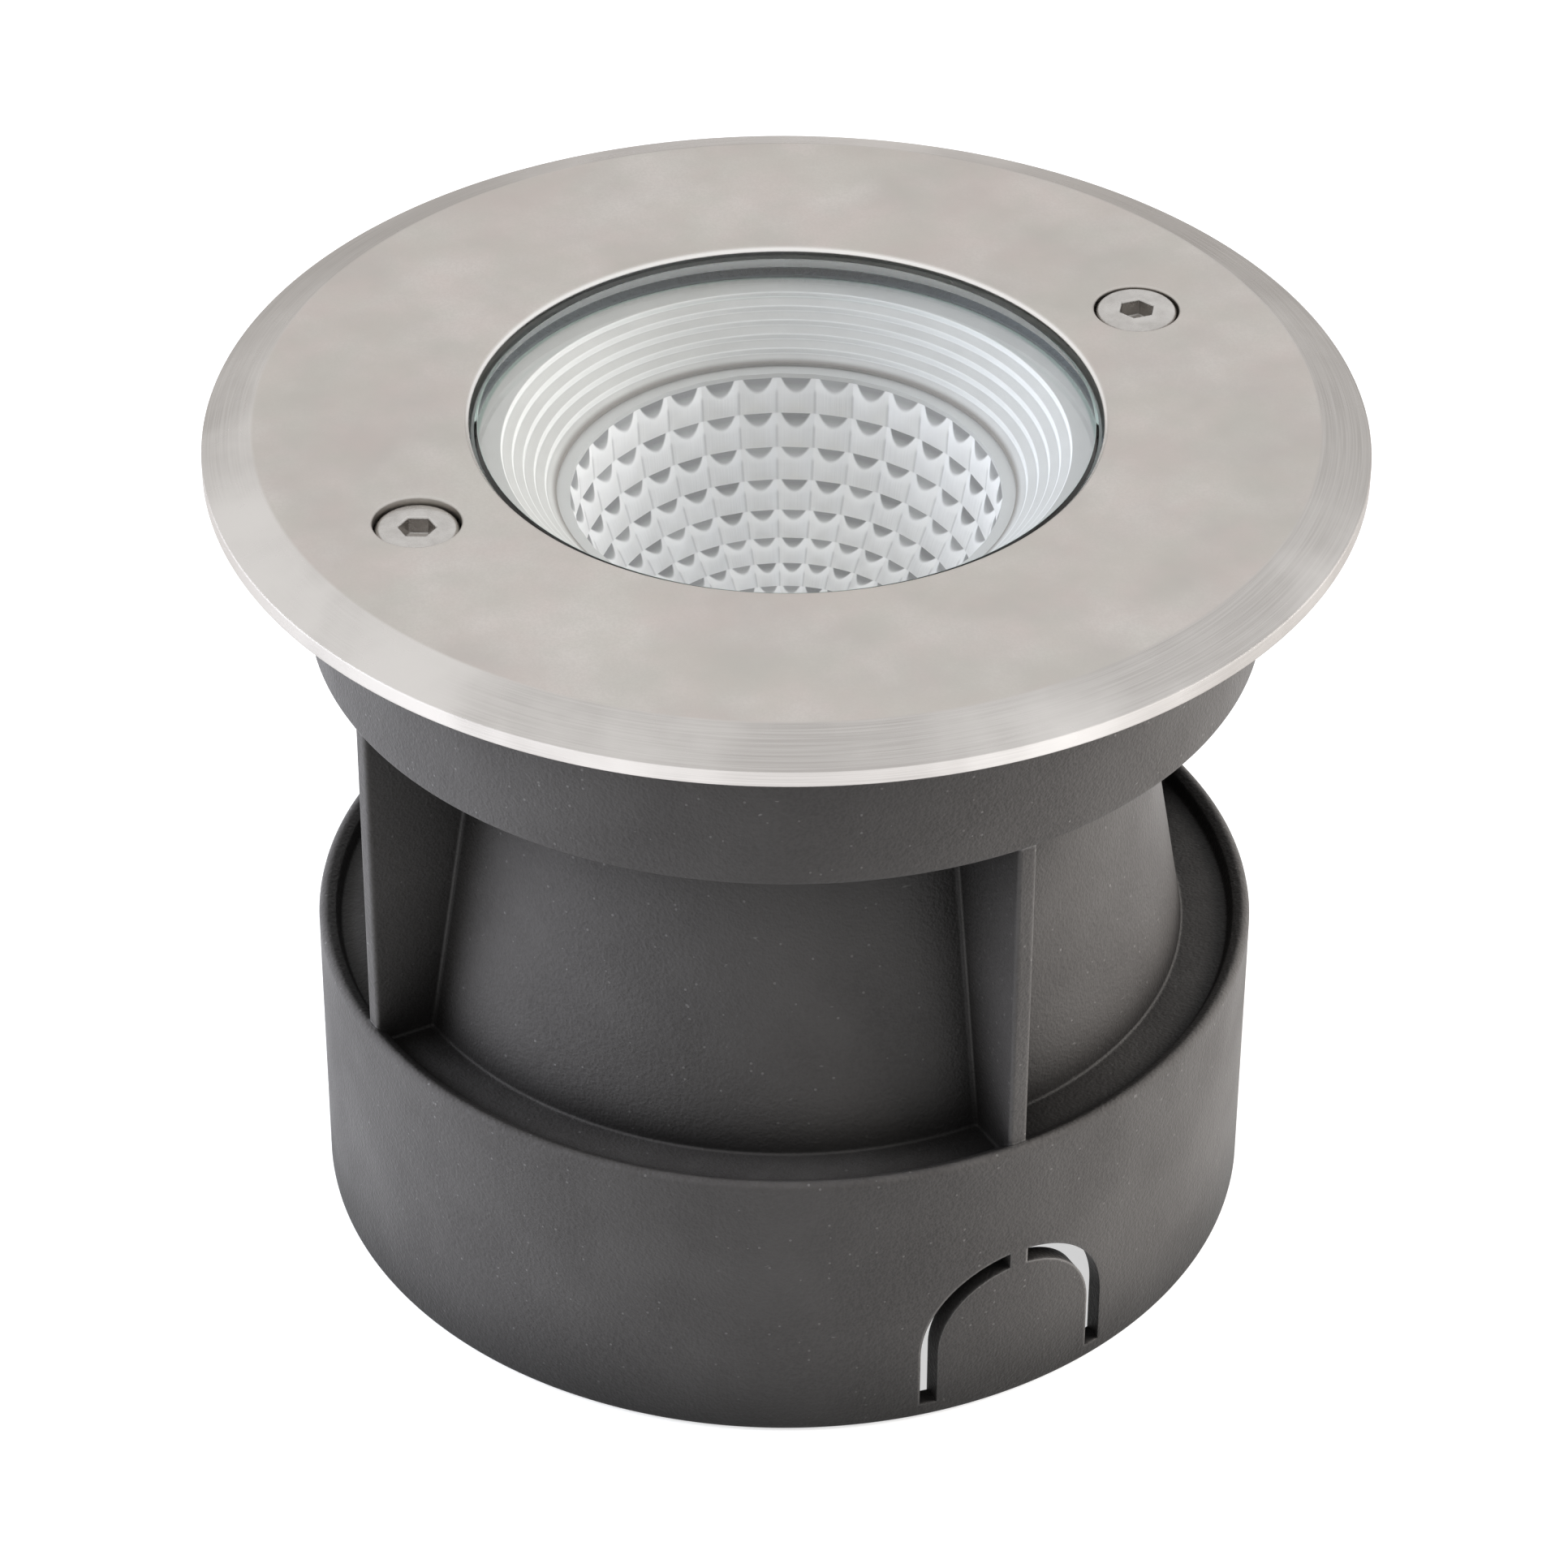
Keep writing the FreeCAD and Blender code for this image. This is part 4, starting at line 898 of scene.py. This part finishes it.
def makeSleeve(own):
    shell = meshOf("sleeveShell", [lathe(sleeveOutline(own), 360)])
    shell = cutBy(shell, slotCutters(own))
    extras = [ribShell(own, turn * math.pi / 2) for turn in range(4)]
    for side in (-1, 1):
        extras += postShells(own, side)
    work = bmesh.new()
    work.from_mesh(shell)
    work.from_mesh(meshOf("sleeveExtras", extras))
    work.to_mesh(shell)
    work.free()
    placePiece("sleeveMoulding", shell, "sleeve", "sleevePlastic", ["mounting_sleeve"])


makeSleeve(sleeve)
print("sleeve made")


# Trim ring and face screws

ringSet = {
    "plateRadius": 72.5, "top": 114.3, "rimLevel": 109.6, "edgeHeight": 2.3, "rebate": 60.6,
    "bevelWidth": 6.2, "opening": 39.4, "lip": 0.5, "round": 0.25, "holeRadius": 5.45,
    "holeFloor": 0.8, "holeLip": 0.18, "shankHole": 3.3,
}


def makeTrimRing(own):
    base = sleeve.plateLevel
    rim = own.rimLevel
    top = own.top
    outline = softOutline([
        (own.opening, base, 0.1),
        (own.rebate, base, 0.0),
        (own.rebate, rim, 0.08),
        (own.plateRadius, rim, own.round),
        (own.plateRadius, rim + own.edgeHeight, own.round * 1.4),
        (own.plateRadius - own.bevelWidth, top, own.round * 1.6),
        (own.opening + own.lip, top, own.round / 2),
        (own.opening, top - own.lip, 0.0),
    ])
    floor = base + own.holeFloor
    cutters = []
    for side in (-1, 1):
        hole = [
            (0.0, base - 1.0), (own.shankHole, base - 1.0), (own.shankHole, floor),
            (own.holeRadius, floor), (own.holeRadius, top - own.holeLip),
            (own.holeRadius + own.holeLip * 2, top + own.holeLip),
            (0.0, top + own.holeLip)]
        cutters.append(lathe(hole, 96, side * sleeve.screwCircle, loop=False))
    mesh = cutBy(meshOf("ringShell", [lathe(outline, 400)]), cutters)
    placePiece("trimRingPlate", mesh, "luminaire", "stainlessPlate", ["trim_ring"])


makeTrimRing(named(ringSet))

screwSet = {
    "thread": 3.0, "pitch": 1.0, "threadDepth": 0.5, "length": 14.0, "head": 5.2, "headHeight": 2.6,
    "headChamfer": 0.7, "key": 4.0, "keyDepth": 2.3, "keyLip": 0.18, "plainTip": 0.5,
    "plainNeck": 0.9, "drillShare": 0.92, "drillDepth": 0.5,
    "sealThickness": {"left": 0.3, "right": 1.0}, "turn": {"left": 30.0, "right": 51.0},
    "columns": 120,
}


def hexRadius(flats, angle, turn):
    # distance from the axis to a hexagon's flat in each direction
    return flats / 2 / np.cos(np.mod(angle - math.radians(turn), np.pi / 3) - np.pi / 6)


def makeFaceScrew(own, name):
    # rings: point, thread as a helical triangle wave, head, hexagon socket with a drilled bottom
    side = {"left": -1, "right": 1}[name]
    seat = sleeve.plateLevel + ringSet["holeFloor"] + own.sealThickness[name]
    foot = seat - own.length
    top = seat + own.headHeight
    chamfer = own.headChamfer
    angle = np.linspace(0, 2 * np.pi, own.columns, endpoint=False)
    threaded = own.length - own.plainTip - own.plainNeck
    rings = [(0.0, foot), (own.thread - chamfer * 1.5, foot)]
    for level in np.linspace(foot + own.plainTip, seat - own.plainNeck, int(threaded / own.pitch * 10)):
        phase = np.mod((level - foot) / own.pitch - angle / (2 * np.pi), 1.0)
        rings.append((own.thread - own.threadDepth * np.abs(2 * phase - 1), level))
    turn = own.turn[name]
    floor = top - own.keyDepth
    rings += [
        (own.thread, seat - 0.6), (own.thread, seat),
        (own.head - 0.15, seat), (own.head, seat + 0.15),
        (own.head, top - chamfer), (own.head - chamfer * 0.12, top - chamfer * 0.6),
        (own.head - chamfer * 0.6, top - chamfer * 0.12), (own.head - chamfer, top),
        (hexRadius(own.key + 2 * own.keyLip, angle, turn), top),
        (hexRadius(own.key, angle, turn), top - own.keyLip),
        (hexRadius(own.key, angle, turn), floor),
        (own.key / 2 * own.drillShare, floor - 0.02), (0.0, floor - own.drillDepth),
    ]
    mesh = meshOf(name, [lathe(rings, own.columns, side * sleeve.screwCircle, loop=False)])
    node = "face_screw_" + name
    placePiece("faceScrew" + name.title(), mesh, "screw_" + name, "screwSteel", [node])


for screwName in ("left", "right"):
    makeFaceScrew(named(screwSet), screwName)

insertSet = {
    "knurls": 48, "knurlDepth": 0.18, "columns": 192, "play": 0.08, "knurlRows": (0.8, 5.0, 6.6),
    "grooveRows": (5.2, 6.4), "grooveDepth": 0.5,
}


def makeInserts(own):
    # knurled brass tube: its outer radius goes in and out with the angle, between plain bands and a groove
    angle = np.linspace(0, 2 * np.pi, own.columns, endpoint=False)
    knurl = own.knurlDepth * np.abs(2 * np.mod(angle * own.knurls / (2 * np.pi), 1.0) - 1)
    bore = screwSet["thread"] + own.play
    outer = sleeve.insertRadius
    flange = outer + sleeve.insertFlangeStep
    top = sleeve.postTop
    foot = top - sleeve.insertLength
    under = top - sleeve.insertFlange
    first, last, again = own.knurlRows
    rings = [(bore, foot + 0.3), (bore + 0.3, foot), (outer - 0.3, foot), (outer - 0.25, foot + 0.6),
             (outer - knurl, foot + first), (outer - knurl, foot + last)]
    rings += [(outer - own.grooveDepth, foot + row) for row in own.grooveRows]
    rings += [(outer - knurl, foot + again), (outer - knurl, under - 0.2), (outer, under), (flange, under),
              (flange, top - 0.12), (flange - 0.12, top), (bore + 0.35, top), (bore, top - 0.35)]
    shells = [lathe(rings, own.columns, side * sleeve.screwCircle) for side in (-1, 1)]
    mesh = meshOf("inserts", shells)
    placePiece("knurledInserts", mesh, "sleeve", "brass", ["threaded_inserts"])


makeInserts(named(insertSet))
print("ring, screws and inserts made")


# Glass, baffle and reflector

glassShape = {
    "radius": 39.15, "flange": 41.15, "top": 113.25, "step": 109.1, "bottom": 106.25,
    "chamfer": 0.8,
}


def makeGlass(own):
    outline = softOutline([
        (0.0, own.bottom, 0.0),
        (own.flange, own.bottom, 0.3),
        (own.flange, own.step, 0.3),
        (own.radius, own.step, 0.1),
        (own.radius, own.top - own.chamfer, 0.12),
        (own.radius - own.chamfer, own.top, 0.12),
        (0.0, own.top, 0.0),
    ], 4, loop=False)
    mesh = meshOf("glass", [lathe(outline, 300, loop=False)])
    placePiece("glassLens", mesh, "luminaire", "clearGlass", ["glass_lens"])


makeGlass(named(glassShape))

baffleSet = {
    "mouth": 35.4, "lip": 28.7, "flangeRadius": 39.1, "top": 106.0, "seat": 104.8, "bottom": 98.9,
    "steps": 5, "wall": 1.2, "lipHeight": 0.6, "crest": 0.22, "groove": 0.08, "undercut": 0.7,
}


def makeBaffle(own):
    # a flat land, then equal steps that each drop half their height and slope in for the rest
    lip = own.bottom + own.lipHeight
    stepIn = (own.mouth - own.lip) / own.steps
    stepDown = (own.top - lip) / own.steps
    corners = [(own.flangeRadius, own.seat, 0.0), (own.flangeRadius, own.top, 0.15)]
    for step in range(own.steps):
        radius = own.mouth - step * stepIn
        level = own.top - step * stepDown
        corners.append((radius, level, own.crest))
        corners.append((radius, level - stepDown / 2, own.groove))
    corners.append((own.lip, lip, 0.1))
    corners.append((own.lip + 0.02, lip - own.lipHeight * 0.85, 0.05))
    corners.append((own.lip + own.undercut, own.bottom, 0.0))
    corners.append((own.lip + own.wall, own.bottom, 0.0))
    corners.append((own.mouth + own.wall, own.seat, 0.0))
    mesh = meshOf("baffle", [lathe(softOutline(corners, 4), 300)])
    placePiece("steppedBaffle", mesh, "luminaire", "bafflePaint", ["baffle_ring"])


makeBaffle(named(baffleSet))


def makeReflector(own, top):
    # an ellipse turned round the axis, in flat-edged facets that swell inward by a product of two parabolas
    rim, semi, rows, columns = own.rim, own.semiDepth, own.rows, own.columns
    startAngle = math.asin(own.band / semi)
    endAngle = math.acos(own.exit / rim)
    down = np.linspace(0, rows, rows * own.down + 1)
    across = np.linspace(0, columns, columns * own.across, endpoint=False)
    rowShare = np.mod(down, 1.0)
    rowShare[-1] = 0.0
    columnShare = np.mod(across, 1.0)
    row = np.floor(down)
    whole = 1 - own.shrink ** rows
    upper, lower = (startAngle + (endAngle - startAngle) * (1 - own.shrink ** step) / whole
                    for step in (row, np.minimum(row + 1, rows)))
    radius = rim * (np.cos(upper) * (1 - rowShare) + np.cos(lower) * rowShare)
    height = top - semi * (np.sin(upper) * (1 - rowShare) + np.sin(lower) * rowShare)
    wedge = 2 * np.pi / columns
    angle = across * wedge
    flat = math.cos(wedge / 2) / np.cos((columnShare - 0.5) * wedge)
    swell = own.pillow * np.outer(1 - (2 * rowShare - 1) ** 2, 1 - (2 * columnShare - 1) ** 2)
    place = upper * (1 - rowShare) + lower * rowShare
    tilt = np.arctan2(semi * np.cos(place), rim * np.sin(place))[:, None]
    inward = radius[:, None] * flat[None, :] - swell * np.sin(tilt)
    level = height[:, None] + swell * np.cos(tilt)
    inner = polar(inward, angle, level)
    band = polar(rim * flat, angle, top)[None]
    wall = own.wall
    outerAngle = np.linspace(endAngle, math.asin(own.flange / (semi + wall)), 24)
    bottom = height[-1]
    flangeRadius = baffleSet["mouth"] + baffleSet["wall"]
    outline = [(own.exit + wall, bottom)]
    outerLevel = top - (semi + wall) * np.sin(outerAngle[1:])
    outline += list(zip((rim + wall) * np.cos(outerAngle[1:]), outerLevel))
    outline += [(flangeRadius, top - own.flange), (flangeRadius, top - 0.2), (flangeRadius - 0.2, top)]
    outer = np.array(outline)
    ring = polar(outer[:, :1], angle, outer[:, 1:])
    points = np.concatenate([band, inner, ring]).reshape(-1, 3)
    mesh = meshOf("reflector", [(points, gridFaces(len(down) + len(outer) + 1, len(across), True))])
    placePiece("facetedReflector", mesh, "luminaire", "metallisedMirror",
               ["reflector"], own.sharpAngle)


makeReflector(named(reflectorSet), reflectorTop / mm)
print("glass and optics made")


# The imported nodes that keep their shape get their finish, each through a merged, smooth copy

slotFinishes = {
    "stainless": "zincSteel",
    "zinc_steel": "zincSteel",
    "brass": "brass",
    "seal_rubber": "sealRubber",
    "cast_aluminium": "castAluminium",
    "pad_silicone": "padSilicone",
    "board_ceramic": "boardCeramic",
    "phosphor": "phosphor",
    "white_plastic": "whitePlastic",
    "driver_plastic": "driverPlastic",
    "potting": "potting",
    "black_nylon": "blackNylon",
    **{name: name for name in leadColours},
}


packedSharp = 28.0  # degrees


def finishNode(node, slotName):
    # a copy of the node's mesh, its doubles merged, shaded smooth up to its real edges
    mesh = frame["nodes"][node].data.copy()
    work = bmesh.new()
    work.from_mesh(mesh)
    bmesh.ops.remove_doubles(work, verts=work.verts, dist=1e-6)
    work.to_mesh(mesh)
    work.free()
    body = next(name for name, held in frame["record"]["behaviour"]["bodies"].items() if node in held)
    placePiece(node + "Finished", mesh, body, slotFinishes[slotName], [node], packedSharp)


madeHere = {"mounting_sleeve", "trim_ring", "face_screw_left", "face_screw_right", "threaded_inserts",
            "glass_lens", "baffle_ring", "reflector"}
for part in frame["record"]["subparts"]:
    if part["node"] not in madeHere:
        finishNode(part["node"], part["material_slot"])
print("packed nodes finished")

# Studio: pale floor, soft lamps and a white room

studioSet = {
    "floorSize": 6.0,
    "floorLevel": -0.0001,
    "floorColour": (0.5, 0.5, 0.5),
    "floorGlow": 0.62,
    "roomLight": 0.5,
    "lamps": [
        ("leftLamp", (-0.92, 0.64, 0.45), 1.00, 33.5, (0.86, 0.9, 1.0)),
        ("rightLamp", (1.02, -0.46, 0.42), 1.00, 32.5, (1.0, 0.965, 0.93)),
        ("topLamp", (-0.25, -0.35, 1.3), 0.8, 1.5, (1.0, 1.0, 1.0)),
    ],
}


def seenDirectly(tree):
    # 1 for rays from the camera, from a mirror and through glass
    path = addNode(tree, "LightPath", {}).outputs
    either = mathOf(tree, "MAXIMUM", path["Is Camera Ray"], path["Is Glossy Ray"])
    return mathOf(tree, "MAXIMUM", either, path["Is Transmission Ray"])


def makeStudio(own):
    half = own.floorSize / 2
    level = own.floorLevel
    mesh = bpy.data.meshes.new("floor")
    corners = [(-half, -half, level), (half, -half, level), (half, half, level), (-half, half, level)]
    mesh.from_pydata(corners, [], [(0, 1, 2, 3)])
    floor = linked("floor", mesh)
    tree, shader, place = newMaterial("paleFloor")
    glow = times(tree, seenDirectly(tree), own.floorGlow)
    feed(tree, shader, {
        "Base Color": own.floorColour,
        "Roughness": 0.9,
        "Specular IOR Level": 0.1,
        "Emission Color": (1.0, 1.0, 1.0),
        "Emission Strength": glow,
    })
    mesh.materials.append(materials["paleFloor"])
    for name, place, size, power, colour in own.lamps:
        data = bpy.data.lights.new(name, "AREA")
        data.shape = "DISK"
        data.size = size
        data.energy = power
        data.color = colour
        lamp = linked(name, data)
        lamp.visible_glossy = False  # metal and glass show the white room, not a clipped lamp disc
        lamp.visible_transmission = False
        lamp.location = place
        aim = Vector(place) - Vector((0.0, 0.0, 0.06))
        lamp.rotation_euler = aim.to_track_quat("Z", "Y").to_euler()
    world = bpy.data.worlds.new("room")
    scene.world = world
    world.use_nodes = True
    tree = world.node_tree
    strength = spread(tree, seenDirectly(tree), 0.0, 1.0, own.roomLight, 1.0)
    feed(tree, tree.nodes["Background"], {"Color": (1.0, 1.0, 1.0), "Strength": strength})


makeStudio(named(studioSet))
